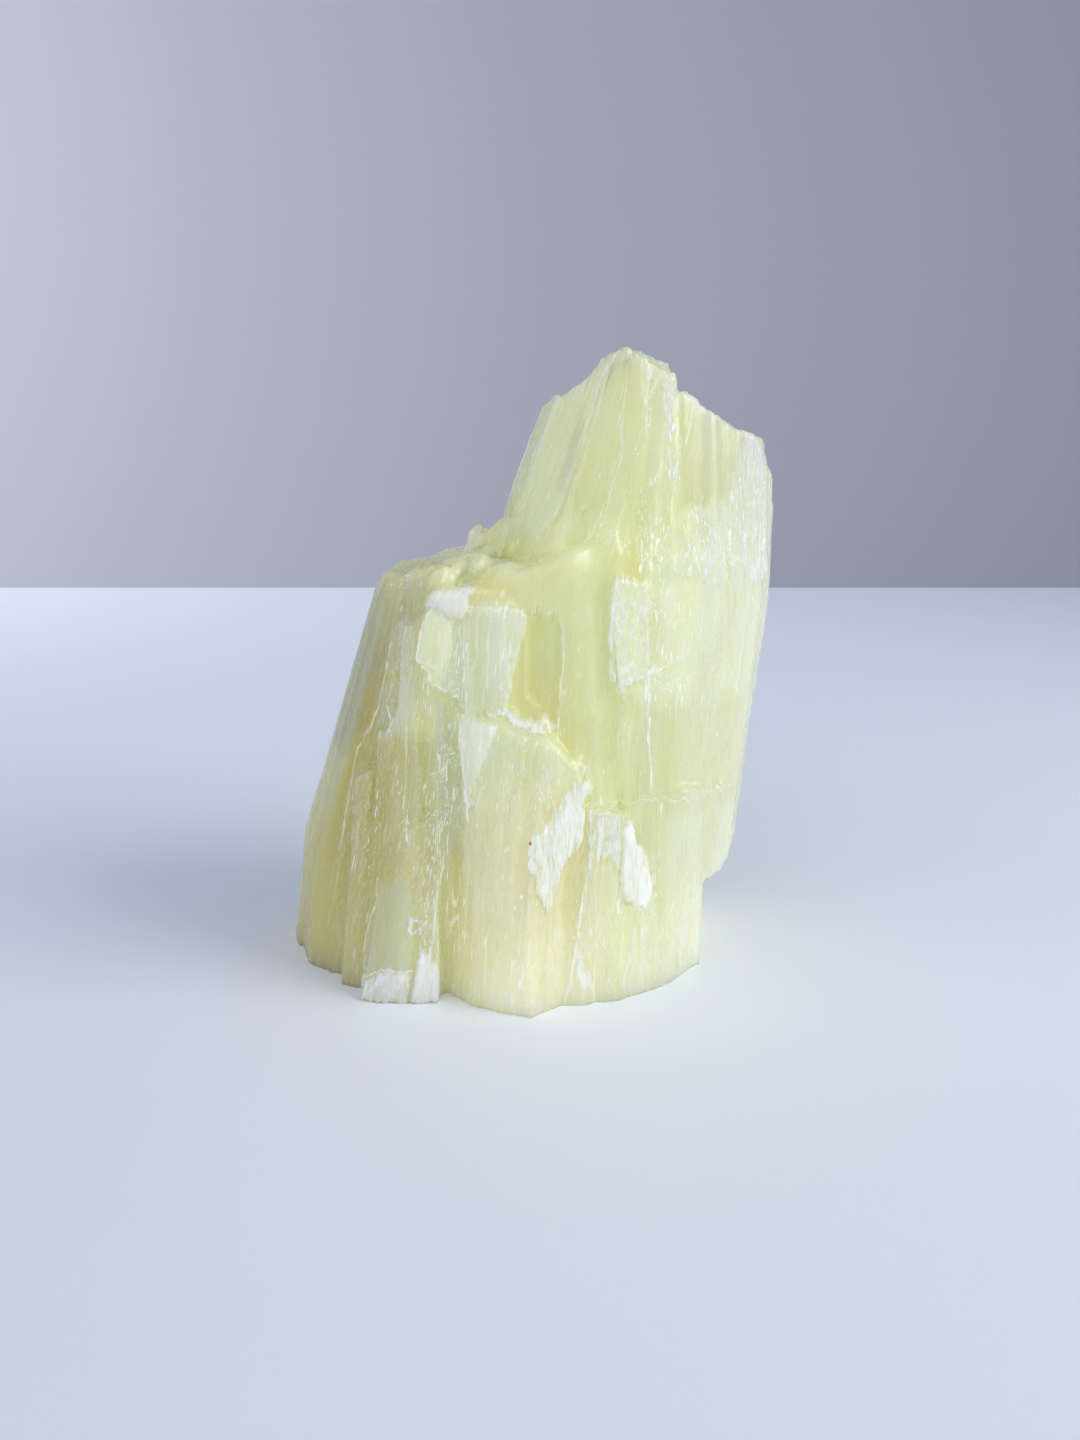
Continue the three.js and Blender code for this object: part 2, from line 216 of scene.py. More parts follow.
def foot_in_one_face(mesh):
    """Joins the many small faces of the level foot into one."""
    bm = bmesh.new()
    bm.from_mesh(mesh)
    faces = [f for f in bm.faces if all(v.co.z < 1e-6 for v in f.verts)]
    bmesh.ops.dissolve_faces(bm, faces=faces, use_verts=False)
    bmesh.ops.delete(bm, geom=[v for v in bm.verts if not v.link_faces], context="VERTS")
    bm.to_mesh(mesh)
    bm.free()


def to_line(q, a, b):
    """Distance of points q from the line between a and b."""
    a, b = np.array(a, float), np.array(b, float)
    t = np.clip(((q - a) @ (b - a)) / ((b - a) @ (b - a)), 0, 1)
    return np.linalg.norm(q - a - t[:, None] * (b - a), axis=1)


def streak(q, points, width):
    """1 on a line through the points, fading out at width."""
    away = np.min([to_line(q, a, b) for a, b in zip(points, points[1:])], axis=0)
    return 1 - ramp(away, 0.3 * width, width)


def nearest_line(q, lines):
    """How far each point q is from the nearest of several (strength, points) lines, less than 0 on
    its left, and that line's strength. Stored so, a line stays thin between the vertices."""
    best = np.full(len(q), 9.0)
    signed = np.full(len(q), 9.0)
    strength = np.zeros(len(q))
    for power, points in lines:
        for a, b in zip(points, points[1:]):
            away = to_line(q, a, b)
            turn = (b[0] - a[0]) * (q[:, 1] - a[1]) - (b[1] - a[1]) * (q[:, 0] - a[0])
            near = away < best
            best = np.where(near, away, best)
            signed = np.where(near, np.where(turn > 0, -away, away), signed)
            strength = np.where(near, power, strength)
    return signed, strength


def patch(q, points, soft):
    """1 inside the outline, fading out over soft."""
    inside = np.zeros(len(q), bool)
    away = np.full(len(q), 1e9)
    for a, b in zip(points, points[1:] + points[:1]):
        spans = (a[1] > q[:, 1]) != (b[1] > q[:, 1])
        with np.errstate(divide="ignore", invalid="ignore"):
            cross = a[0] + (q[:, 1] - a[1]) * (b[0] - a[0]) / (b[1] - a[1])
        inside ^= spans & (q[:, 0] < cross)
        away = np.minimum(away, to_line(q, a, b))
    return ramp(np.where(inside, away, -away), -soft / 2, soft / 2)


def refined(mesh, outlines, reach):
    """Cuts the long edges near the outlines on the front in three, so that plates end sharply."""
    co = read(mesh) / MM
    height = co[:, 2] / ALONG
    seen = np.stack([lean_right(co[:, 0], height), height], 1)
    away = np.full(len(seen), 9.0)
    for points in outlines:
        for a, b in zip(points, points[1:] + points[:1]):
            away = np.minimum(away, to_line(seen, a, b))
    near = (away < reach) & (co[:, 1] < 0) & (normals(mesh)[:, 1] < -0.3)

    def is_long(edge):
        a, b = edge.verts
        return near[a.index] and near[b.index] and abs(a.co.z - b.co.z) > 0.7 * VOXEL * MM

    bm = bmesh.new()
    bm.from_mesh(mesh)
    edges = [e for e in bm.edges if is_long(e)]
    bmesh.ops.subdivide_edges(bm, edges=edges, cuts=2)
    bm.to_mesh(mesh)
    bm.free()
    return mesh


# Outlines on the front, seen straight on: (x, z) in mm.
FRONT_BLOCK_CAP = [
    (-9.8, 47.4), (-7.9, 47.9), (-4.1, 46.9), (-4.5, 45), (-6.2, 41.9), (-7.4, 37.5), (-8.1, 33.8),
    (-9, 32.4), (-9.6, 39.5), (-10.2, 42.3),
]
SPLINTER = [
    (8.3, 37.6), (10.9, 36.6), (10.8, 34.6), (9.8, 33.5), (9.6, 28.5), (8.5, 26), (6.6, 24.9),
    (5.8, 21.7), (4.2, 17.2), (3.3, 17.8), (2.2, 20.5), (2, 23.4), (0.5, 24.8), (1.1, 29.5),
    (4.2, 31.8), (6.1, 34.4),
]
SPLINTER_CORE = [
    (9, 36.9), (10.6, 36), (9.5, 33.9), (9.4, 28.8), (8, 26.3), (5.4, 22), (4.6, 26.7), (4.7, 31.2),
    (6.7, 34.2),
]
FAN = [
    (10.9, 33), (15.4, 32.1), (18.2, 29), (18.5, 26.4), (20.7, 23.5), (21.5, 20), (21, 18.1),
    (20.3, 14.7), (18.5, 16), (16.4, 16.7), (15.1, 16.4), (14.9, 20.2), (15.5, 23.5), (15.4, 27.4),
    (13.8, 29.5), (12.2, 24.5), (10.9, 24.9), (10.7, 28.9),
]
FAN_CORE = [
    (15.7, 30.4), (17.9, 29.3), (18.3, 26.4), (20.7, 23.1), (21.3, 19.1), (20.3, 15), (18.5, 16.3),
    (16.4, 17.3), (15.7, 22.6), (16.1, 26.8),
]
FLAKE = [(14.2, 68.5), (19.6, 67.5), (20.1, 52.8), (14.5, 51.5), (13.8, 56.5), (13.6, 62.6)]
UPPER_BLOCK_CORNER = [
    (-15.5, 64.7), (-13.7, 66.9), (-11.8, 67.3), (-8.8, 67.7), (-6.9, 68), (-8.3, 66.6), (-8.4, 64.2),
    (-9.3, 62.9), (-11, 63.7), (-12.7, 64.5),
]
UPPER_BLOCK_FACE = [
    (-8.6, 64.8), (-3.8, 64.8), (0.4, 62.7), (0.4, 61), (-1.3, 55.5), (-2.4, 50.4), (-5.2, 48.6),
    (-8.6, 47.9), (-9.1, 53.9), (-9.3, 58.2),
]
UPPER_BLOCK_LEFT = [
    (-14.3, 64.4), (-12.8, 64.3), (-10.6, 62.9), (-11.2, 57.3), (-12.4, 55.1), (-12.8, 51.7),
    (-14.7, 52.9), (-14.6, 54.6), (-16.4, 55.6), (-16.8, 56.7), (-16.4, 60.2),
]
UPPER_BLOCK_SHADE = [
    (-10.8, 62.5), (-9.4, 62.4), (-9.3, 58), (-8.9, 48), (-11.1, 48), (-12.6, 51.2), (-11.3, 57),
]
RECESS = [
    (0.4, 63.6), (5.6, 63), (6, 53.5), (5.6, 46), (2.1, 46.2), (-2.2, 48.2), (-2.4, 50.4),
    (-0.9, 55.4),
]
RECESS_DEEP = [(-0.6, 56.6), (5.6, 56.4), (5.3, 46), (2.4, 46), (-2.6, 49.1)]
GREY_FLAKE = [
    (-20.7, 61), (-16.8, 61.9), (-17.1, 56.7), (-18.5, 54), (-21.7, 52.6), (-22.5, 54), (-21.7, 57.8),
]
TAIL_PLATE = [(9.9, 24.4), (15.2, 23.5), (14.9, 16.8), (13.2, 12.8), (10.8, 8), (8.3, 8), (9.4, 18.1)]
LOBES = [
    (-8, 65.6), (-7, 68.4), (-4.3, 70.8), (3.4, 73), (9.5, 74.5), (20, 72), (20, 67), (8, 64),
    (0.2, 64.2),
]
FOOT_WHITE = [(-27.3, 2.9), (-21.6, 6), (-18.4, 6), (-19, 0), (-27.5, 0)]
FOOT_WEDGE = [
    (-16.4, 9.9), (-15.9, 8.1), (-14.2, 7.5), (-13.7, 4), (-13.9, 0), (-18.6, 0), (-18, 3.6),
    (-17.1, 7.7),
]
LEFT_EDGE = [
    (-23.4, 61.9), (-26.6, 51.1), (-30, 37.2), (-35.7, 21.8), (-37.4, 11.9), (-39, 6), (-50, 6),
    (-30, 66), (-24, 66),
]
PEAK_LEFT_FACE = [
    (13.2, 101), (11.2, 96.5), (10.1, 92), (8.9, 87.8), (7.9, 85.3), (6.8, 82.4), (5.1, 78.5),
    (2.3, 74.7), (-4, 73), (-4, 86), (4, 96.5), (10, 101),
]
PEAK_BORDER = PEAK_LEFT_FACE[:8]
PEAK_GLOW = [(8.9, 87.8), (10.7, 87), (9.4, 79.4), (5.1, 74.3), (2.5, 74.9), (5.1, 78.5), (6.8, 82.4)]
PEAK_FRONT = [(12, 101), (24, 101), (36, 90), (33, 76), (24, 70), (4, 73), (9, 88)]
PEAK_RIGHT_SIDE = [(23.9, 98), (23.9, 92), (24.1, 86), (23.4, 79), (24, 72), (44, 70), (44, 98)]
PEAK_RIGHT = [(24, 97), (26.7, 95.5), (32.6, 93), (36, 91), (32.9, 80.9), (26.6, 79.3), (24.5, 79.4)]
PEAK_DARK_SIDE = [
    (9.4, 95.5), (9.2, 90.7), (8.8, 87.4), (7.7, 84.9), (6.6, 81.7), (5.1, 81), (6.1, 84.4),
    (7.3, 88.6), (8.2, 92.5),
]
RIGHT_CLOUD = [
    (26.1, 78.5), (28.9, 79.3), (33, 77.4), (36.2, 73.6), (36, 65), (30.1, 66), (24.4, 69),
    (25.3, 75.1),
]
RIGHT_EDGE = [
    (35.6, 90.4), (38.2, 89.1), (40.7, 86.4), (41.3, 82.8), (43, 81.8), (43, 76.7), (42, 66),
    (36, 66.4), (34.2, 74.6), (32.9, 79.1), (33.3, 85.6),
]
LEFT_PANE = [
    (-24.2, 19.3), (-21.6, 20), (-19.6, 21.9), (-18.2, 17.9), (-17.8, 14.7), (-18.4, 6.4),
    (-27.1, 3.5), (-26.4, 9.7), (-24.3, 16.1),
]
LEFT_DARK = [
    (-17.3, 31.6), (-14.2, 32.4), (-13.7, 25.7), (-13, 23.1), (-14.2, 16.5), (-18.3, 16.5),
    (-17.7, 23.8),
]
OLIVE_BAND = [
    (-24.3, 57.5), (-25.5, 43.3), (-28.1, 38.8), (-30.2, 27.5), (-31.5, 21.7), (-33, 10), (-32, 0),
    (-37, 2), (-36.1, 18.9), (-32.2, 32.8), (-27.4, 46.8),
]
LEFT_BAND = [(-20.9, 49.7), (-17.4, 51.2), (-17.5, 42.5), (-18.6, 34.2), (-20.2, 34.2), (-19.8, 43.2)]
LEFT_PALE = [(-24.2, 48.6), (-22.7, 51.1), (-17.6, 53.1), (-17.2, 48.5), (-18.7, 43.9), (-24.7, 43.2)]
RIGHT_SMOOTH = [(21.9, 50), (37, 49), (37, 20), (30.2, 16.3), (14, 33), (14, 38)]
MIDDLE = [(5.8, 64), (13.7, 62), (14.2, 39.8), (5.8, 41.1)]
VALLEY = [(-13.5, 50), (-10.3, 47), (-9, 33), (-8.4, 25), (-8, 0), (-14, 0), (-14.5, 14), (-13.6, 30)]
VALLEY_TOP = [(-13.5, 50), (-10.3, 47), (-9, 33), (-9.8, 24), (-13, 24), (-13.6, 30)]
VALLEY_LOW = [(-13.6, 24), (-9.8, 25), (-7, 12), (-7, 0), (-14, 0), (-14.5, 14)]
RUBBLE = [(-24, 70), (-12, 77), (-2, 82), (4, 74), (-6, 68), (-15, 66), (-18, 58), (-23, 62)]
LEFT_SHEET = [
    (-22, 66), (-22.6, 51), (-25.4, 44), (-28.6, 36), (-31.6, 24), (-33, 2), (-44, 2), (-28, 66),
]
SHOULDER = [
    (-26, 68), (-24, 72), (-18, 74), (-10.5, 76), (-13.1, 69.4), (-15.3, 66.9), (-20.2, 61.1),
    (-21.7, 57.8), (-23.7, 54.9), (-25.5, 54.9),
]
LOBE_TOP = [(-12, 70), (-4.3, 71.5), (3.4, 73.5), (9.5, 74.8), (20, 72.5)]
FRONT_LOW = [(-12, 38), (8, 38), (14, 20), (12, 2), (4, 0), (-14, 0), (-13, 28)]
LEFT_GREY = [
    (-28, 68), (-21, 71), (-14, 69.5), (-16.5, 64), (-20, 58), (-23, 53), (-26.5, 48), (-30, 38),
    (-38, 38),
]
CAP_TOP = [
    (-9.8, 47.2), (-7.9, 47.8), (-4.3, 46.9), (-4, 44.5), (-4.8, 42.2), (-6.5, 40.5), (-8.2, 37),
    (-9.2, 34), (-9.6, 39.5), (-10.2, 42.3),
]
FAN_TOP = [(11.5, 32.5), (15.4, 31.8), (16, 27), (15.4, 23), (13.8, 25), (12.2, 25.5), (11.2, 27)]
LEFT_SHADE = [(-22, 70), (-22, 56), (-26, 44), (-36, 35), (-40, 50), (-28, 74)]
SHOULDER_BACK = [(-12, 76), (-24, 67), (-10, 68.5), (-4, 71.5), (2, 74), (-2, 80)]
SHOULDER_TOP = [(-27, 62), (-25, 75), (-10, 77), (-10, 66)]
RIGHT_FOOT = [(20, 33), (37, 33), (37, 0), (18, 0)]
RIGHT_BELT = [(20, 48), (38, 48), (38, 28), (16, 32)]
RIGHT_HAZE = [(20.5, 66), (36, 66), (35, 40), (21, 42)]
BLOCK_RIDGE = [(-10, 47.6), (-3.4, 48.6), (0.4, 46.9), (4.4, 45.2), (8.3, 41.4), (9, 38)]

RAISED = (
    FRONT_BLOCK_CAP, SPLINTER, SPLINTER_CORE, FAN, FAN_CORE, FLAKE, UPPER_BLOCK_CORNER,
    UPPER_BLOCK_LEFT, UPPER_BLOCK_FACE, GREY_FLAKE, FOOT_WHITE, FOOT_WEDGE, RECESS, LEFT_PANE,
    BLOCK_RIDGE,
)

# ---------------------------------------------------------------- the surface, smoothed and cleaved
SMOOTH_ROUNDS = 12
WAX_ROUNDS = 16
SHEET_BACK = 8        # mm: the left sheet is smooth as far back as this
SHOULDER_DEEP = 18    # mm: and the shoulder as far as this
PEAK = (66, 76)       # mm: between these heights the block turns into the peak

stone = refined(voxelled(upright_copy()), RAISED, REACH)
p = read(stone) / MM
p[:, 2] /= ALONG
p[:, 2:] = spread(stone, p[:, 2:], 1)
p[:, :2] = spread(stone, p[:, :2], 1)
seen = np.stack([lean_right(p[:, 0], p[:, 2]), p[:, 2]], 1)
# the peak and the left sheet have no straight ribs
smooth = ramp(p[:, 2], *PEAK) * (1 - 0.9 * streak(seen, PEAK_BORDER, 2.5))
smooth = np.maximum(smooth, patch(seen, LEFT_SHEET, 3) * (p[:, 1] < SHEET_BACK))
p[:, :2] += smooth[:, None] * (spread(stone, p[:, :2], SMOOTH_ROUNDS) - p[:, :2])
# the lobes, the shoulder and the ridge of the front block are rounded like wax
waxy = np.max([
    patch(seen, LOBES, 6),
    streak(seen, LOBE_TOP, 8),
    patch(seen, SHOULDER, 4),
    patch(seen, RUBBLE, 5),
    streak(seen, BLOCK_RIDGE, 2.5),
], axis=0)
waxy *= p[:, 1] < SHOULDER_DEEP
p += waxy[:, None] * (spread(stone, p, WAX_ROUNDS) - p)
write(stone, p * MM)
n = normals(stone)
side = 1 - ramp(np.abs(n[:, 2]), 0.4, 0.85)
above = ramp(p[:, 2], 0.4, 3.0)
front = ramp(-n[:, 1], 0.0, 0.4) * (p[:, 1] < 0)
block = p[:, 1] < np.interp(p[:, 2], (0, 50), (-17, -20.8))    # the block at the very front
# grain: each vertex with the grain upright. seen: where it lies on the front, (x, z) in mm.
# q: the same, wavering a little, so that an outline looks broken and not drawn.
grain = p.copy()
seen = np.stack([lean_right(p[:, 0], p[:, 2]), p[:, 2]], 1)
q = seen + 0.22 * np.stack([perlin(grain, (0.9, 0.9, 3), 31), 3 * perlin(grain, (0.7, 0.7, 3), 32)], 1)


def marked(rows):
    """Marks on the front, from rows of strength, patch or streak, points and soft edge."""
    return [strength * shape(q, points, soft) for strength, shape, points, soft in rows]


def strongest(*rows):
    """Where marks overlap, the strongest counts."""
    return np.max(marked(rows), axis=0) * front


def added(*rows):
    """Where marks overlap, they add up."""
    return np.sum(marked(rows), axis=0) * front


# where the cleavage lies smooth, and where it is fibrous
calm = strongest(
    (1.0, patch, PEAK_LEFT_FACE, 3),
    (1.0, patch, RECESS, 2),
    (1.0, patch, LOBES, 3),
    (0.8, patch, RIGHT_SMOOTH, 5),
    (0.8, patch, MIDDLE, 3),
    (0.9, patch, SHOULDER, 2),
    (1.0, patch, LEFT_SHEET, 2),
    (0.7, patch, LEFT_BAND, 2),
    (0.8, patch, LEFT_PANE, 1),
    (0.8, patch, PEAK_FRONT, 4),
    (0.6, patch, UPPER_BLOCK_LEFT, 1),
)
not_back = ramp(-n[:, 1], -0.6, -0.1)
calm = np.maximum(calm, np.maximum(patch(q, LEFT_SHEET, 2), patch(q, SHOULDER, 2)) * not_back)
calm = np.maximum(calm, ramp(perlin(grain, (9, 9, 26), 90), 0.1, 0.5) * (1 - front))
calm = np.maximum(calm, waxy * ramp(n[:, 2], 0.2, 0.6))
busy = (1 - 0.85 * calm) * (0.45 + 0.55 * ramp(perlin(grain, (8, 8, 30), 91), -0.3, 0.3))

# cleaved plates: flat cells drawn out along the grain, each a little proud or sunk and a little tilted
warp = np.stack([
    perlin(p, (1.3, 1.3, 5), 2),
    perlin(p, (1.3, 1.3, 5), 4),
    0.5 * perlin(p, (1, 1, 4), 7),
], axis=1)
proud = 0
tone = 0
for size, depth, shade, bend, amount, seed in (
    ((9, 7, 34), 0.34, 0.10, 0.5, 0.35 + 0.65 * busy, 50),
    ((3.8, 3.4, 15), 0.24, 0.06, 0.4, busy, 60),
    ((1.6, 1.5, 8), 0.10, 0.03, 0.25, busy, 70),
):
    number, place = cells((p + warp * bend) / size, seed)
    tilt = number[:, 1] * place[:, 0] + number[:, 2] * place[:, 1]
    proud = proud + amount * depth * (number[:, 0] + 0.9 * tilt)
    tone = tone + amount * shade * number[:, 1]
# broken crests: splinters of all heights that stand along the grain, none where the stone is waxy
hackle = 0
for size, height, seed in (((3.4, 3, 12), 0.8, 21), ((1.6, 1.4, 8), 0.5, 22), ((0.8, 0.7, 6), 0.2, 23)):
    number, place = cells((p + warp * 0.3) / size, seed)
    hackle = hackle + height * (number[:, 0] + number[:, 1] * place[:, 0] + number[:, 2] * place[:, 1])
rough = ramp(p[:, 2], 6, 16) * (0.22 + 0.25 * ramp(perlin(p, (9, 9, 60), 24), -0.3, 0.4)) * (1 - waxy)
p += n * (1, 1, 0.25) * (proud * side * above)[:, None]
p[:, 2] += hackle * rough
p[:, 0] = lean_right(p[:, 0], p[:, 2])

# named plates on the front: how far they stand proud in mm, outline, soft edge
torn = perlin(grain, (0.5, 0.5, 3.2), 34)
crumbs = strongest(
    (1.0, streak, [(-5.2, 48.3), (-3.4, 48.4), (-0.6, 46.7), (2.6, 45.8), (4.4, 45.2)], 0.9),
    (0.9, streak, [(2.8, 45.6), (3.6, 47.2), (4.4, 45.4)], 0.8),
) * block
relief = added(
    (0.5, patch, FRONT_BLOCK_CAP, 0.3),
    (0.5, patch, SPLINTER, 0.3),
    (0.5, patch, SPLINTER_CORE, 0.3),
    (-0.35, patch, FAN, 0.3),
    (0.75, patch, FAN_CORE, 0.3),
    (0.6, patch, FLAKE, 0.3),
    (0.6, patch, UPPER_BLOCK_CORNER, 0.3),
    (0.4, patch, UPPER_BLOCK_FACE, 0.3),
    (0.4, patch, UPPER_BLOCK_LEFT, 0.3),
    (0.25, patch, LEFT_PANE, 0.5),
    (-0.3, patch, PEAK_LEFT_FACE, 0.5),
    (-0.35, patch, PEAK_RIGHT_SIDE, 0.4),
    (-0.6, patch, RECESS, 0.4),
    (0.6, patch, GREY_FLAKE, 0.3),
    (0.45, patch, TAIL_PLATE, 0.3),
    (0.4, patch, FOOT_WHITE, 0.3),
    (0.6, patch, FOOT_WEDGE, 0.3),
)
relief += crumbs * (0.5 + 0.5 * perlin(grain, (0.8, 0.8, 1.2), 33))
frayed = strongest(
    (1.0, patch, SPLINTER, 0.8),
    (1.0, patch, FAN, 0.8),
    (0.8, patch, RIGHT_EDGE, 2),
    (0.6, patch, FLAKE, 1),
)
relief += 0.16 * torn * frayed
p[:, 1] -= relief * front

p[p[:, 2] < FOOT, 2] = 0
lo, hi = (np.array(v) / MM for v in cad_box)
p = np.clip(p, lo, hi)
write(stone, p * MM)
n = normals(stone)

# ---------------------------------------------------------------- frosted, deep, thin or worn
UNDER = 0.8      # mm below the surface, where the stone's thickness is measured from
NO_END = 60.0    # mm: taken where nothing is hit

solid = CAD.data
solid_tree = BVHTree.FromPolygons([v.co for v in solid.vertices], [f.vertices for f in solid.polygons])


def thickness():
    """How much stone lies behind each vertex, in mm, straight in."""
    deep = np.full(len(p), NO_END)
    for i, (at, inward) in enumerate(zip((p - n * UNDER) * MM, -n)):
        hit, facing, _, far = solid_tree.ray_cast(at, inward)
        if hit is not None and facing.dot(Vector(inward)) < 0:    # still outside the solid
            hit, facing, _, far = solid_tree.ray_cast(hit + Vector(inward) * 1e-5, inward)
        if hit is not None:
            deep[i] = far / MM
    return deep


thin = 1 - ramp(spread(stone, thickness()[:, None], 6)[:, 0], 2, 16)
thin *= 1 - streak(seen, BLOCK_RIDGE, 2.5) * front
bulge = np.einsum("ij,ij->i", n, p - spread(stone, p, 1))
# edge: convex edges, which get a painted highlight in pale white
edge = ramp(bulge, 0.012, 0.045) * side
# crease: concave creases, which get painted shade in deeper honey
crease_shade = ramp(-bulge, 0.012, 0.05) * side * (1 - waxy)
edge *= 1 - 0.8 * calm
crease_shade *= (1 - 0.8 * calm) * (1 - streak(seen, BLOCK_RIDGE, 3))
# rim: convex rims on the peak, which get a painted glow
rim = ramp(bulge, 0.02, 0.06) * ramp(p[:, 2], *PEAK)

# white frost where the stone is splintered, and on the right edge partly a painted sheen of the window
# light
frost_and_sheen = strongest(
    (0.78, patch, SPLINTER, 0.5),
    (0.95, patch, SPLINTER_CORE, 0.5),
    (0.6, patch, FAN, 0.5),
    (0.8, patch, FAN_TOP, 0.5),
    (0.95, patch, FAN_CORE, 0.5),
    (0.9, streak, [(8.8, 9), (9.2, 6), (10, 3.4), (10.6, 5.5)], 1.0),
    (0.5, streak, [(10.9, 32.2), (10.6, 24.8), (9.5, 18.1), (8.3, 8.9), (6.8, 0.5)], 0.5),
    (0.8, patch, FOOT_WHITE, 0.4),
    (0.95, patch, FOOT_WEDGE, 0.4),
    (0.9, streak, [
        (-18.2, 14.5), (-16.8, 14.1), (-16.5, 12.5), (-17.7, 11.6), (-18.4, 12.6), (-18.2, 14.5),
    ], 0.5),
    (0.5, patch, UPPER_BLOCK_CORNER, 0.5),
    (0.15, patch, FRONT_BLOCK_CAP, 0.5),
    (0.75, streak, [(-9.9, 43), (-9.6, 39.5), (-9, 33)], 0.8),
    (0.6, streak, [(-13.4, 29.6), (-13.3, 23.1), (-14, 20.1), (-14.5, 14.2), (-14.9, 8.8)], 0.45),
    (0.35, streak, [(-9.3, 62.5), (-9.2, 56.7), (-8.8, 47.9)], 0.5),
    (0.3, streak, [(0.4, 63), (-1.2, 55), (-2.8, 49.6)], 0.5),
    (0.4, streak, [(5.9, 61.7), (5.7, 53.1), (5.5, 43.7)], 0.4),
    (0.6, streak, [(14.5, 68.4), (14.1, 61), (14.3, 52.6), (15.6, 51.2)], 1.1),
    (0.45, streak, [(14.5, 68.4), (20.1, 66.9), (20.1, 55)], 0.8),
    (0.46, patch, FLAKE, 0.6),
    (1.0, streak, [(17, 53), (19.8, 53.4), (22.1, 54.2)], 0.8),
    (1.0, streak, [(19.6, 53), (20.2, 49.4)], 0.7),
    (0.45, streak, [(19.9, 50.8), (20.4, 42.7), (20.9, 34.4)], 0.5),
    (0.35, streak, [(10.5, 32.9), (18.9, 32.8), (29.3, 32.1), (36, 32)], 0.5),
    (0.4, patch, [(2, 41.6), (6, 40.8), (6.4, 36), (3.6, 33.6), (2, 36)], 1.6),
    (0.55, patch, [(21.7, 100), (23.7, 96.7), (23.4, 90), (22, 90)], 0.8),
    (0.5, patch, [(21.3, 88.6), (24.4, 87.7), (24.5, 83.1), (21.8, 83.8)], 1.2),
    (0.4, patch, [(20.5, 82.6), (23.9, 81.9), (23.3, 78.6), (20.7, 79.2)], 1.2),
    # painted sheen: these patches on the right edge stand partly for the window light reflected there
    (0.5, patch, RIGHT_EDGE, 2.5),
    (0.7, patch, [(36.9, 72.8), (41.5, 72.5), (41.5, 66.5), (36.1, 65.8)], 2),
    (0.5, patch, RIGHT_CLOUD, 5),
    (0.26, patch, RIGHT_HAZE, 6),
    (0.3, patch, [(26, 15.7), (31, 15), (31, 2), (27, 4)], 1),
    (0.5, streak, [(16.2, 0.1), (17.5, 6.5), (19.3, 16.8)], 0.5),
    (0.5, patch, [(11.7, 13.4), (14.3, 12.5), (13.7, 7.5), (11.1, 7.6)], 2),
)
frost_and_sheen = np.maximum(frost_and_sheen, crumbs)
loose = ramp(perlin(grain, (7, 7, 16), 81) + 0.3 * perlin(grain, (1.6, 1.6, 6), 82), 0.5, 0.62)
frost_and_sheen = np.maximum(frost_and_sheen, 0.8 * loose * (1 - front) * side)

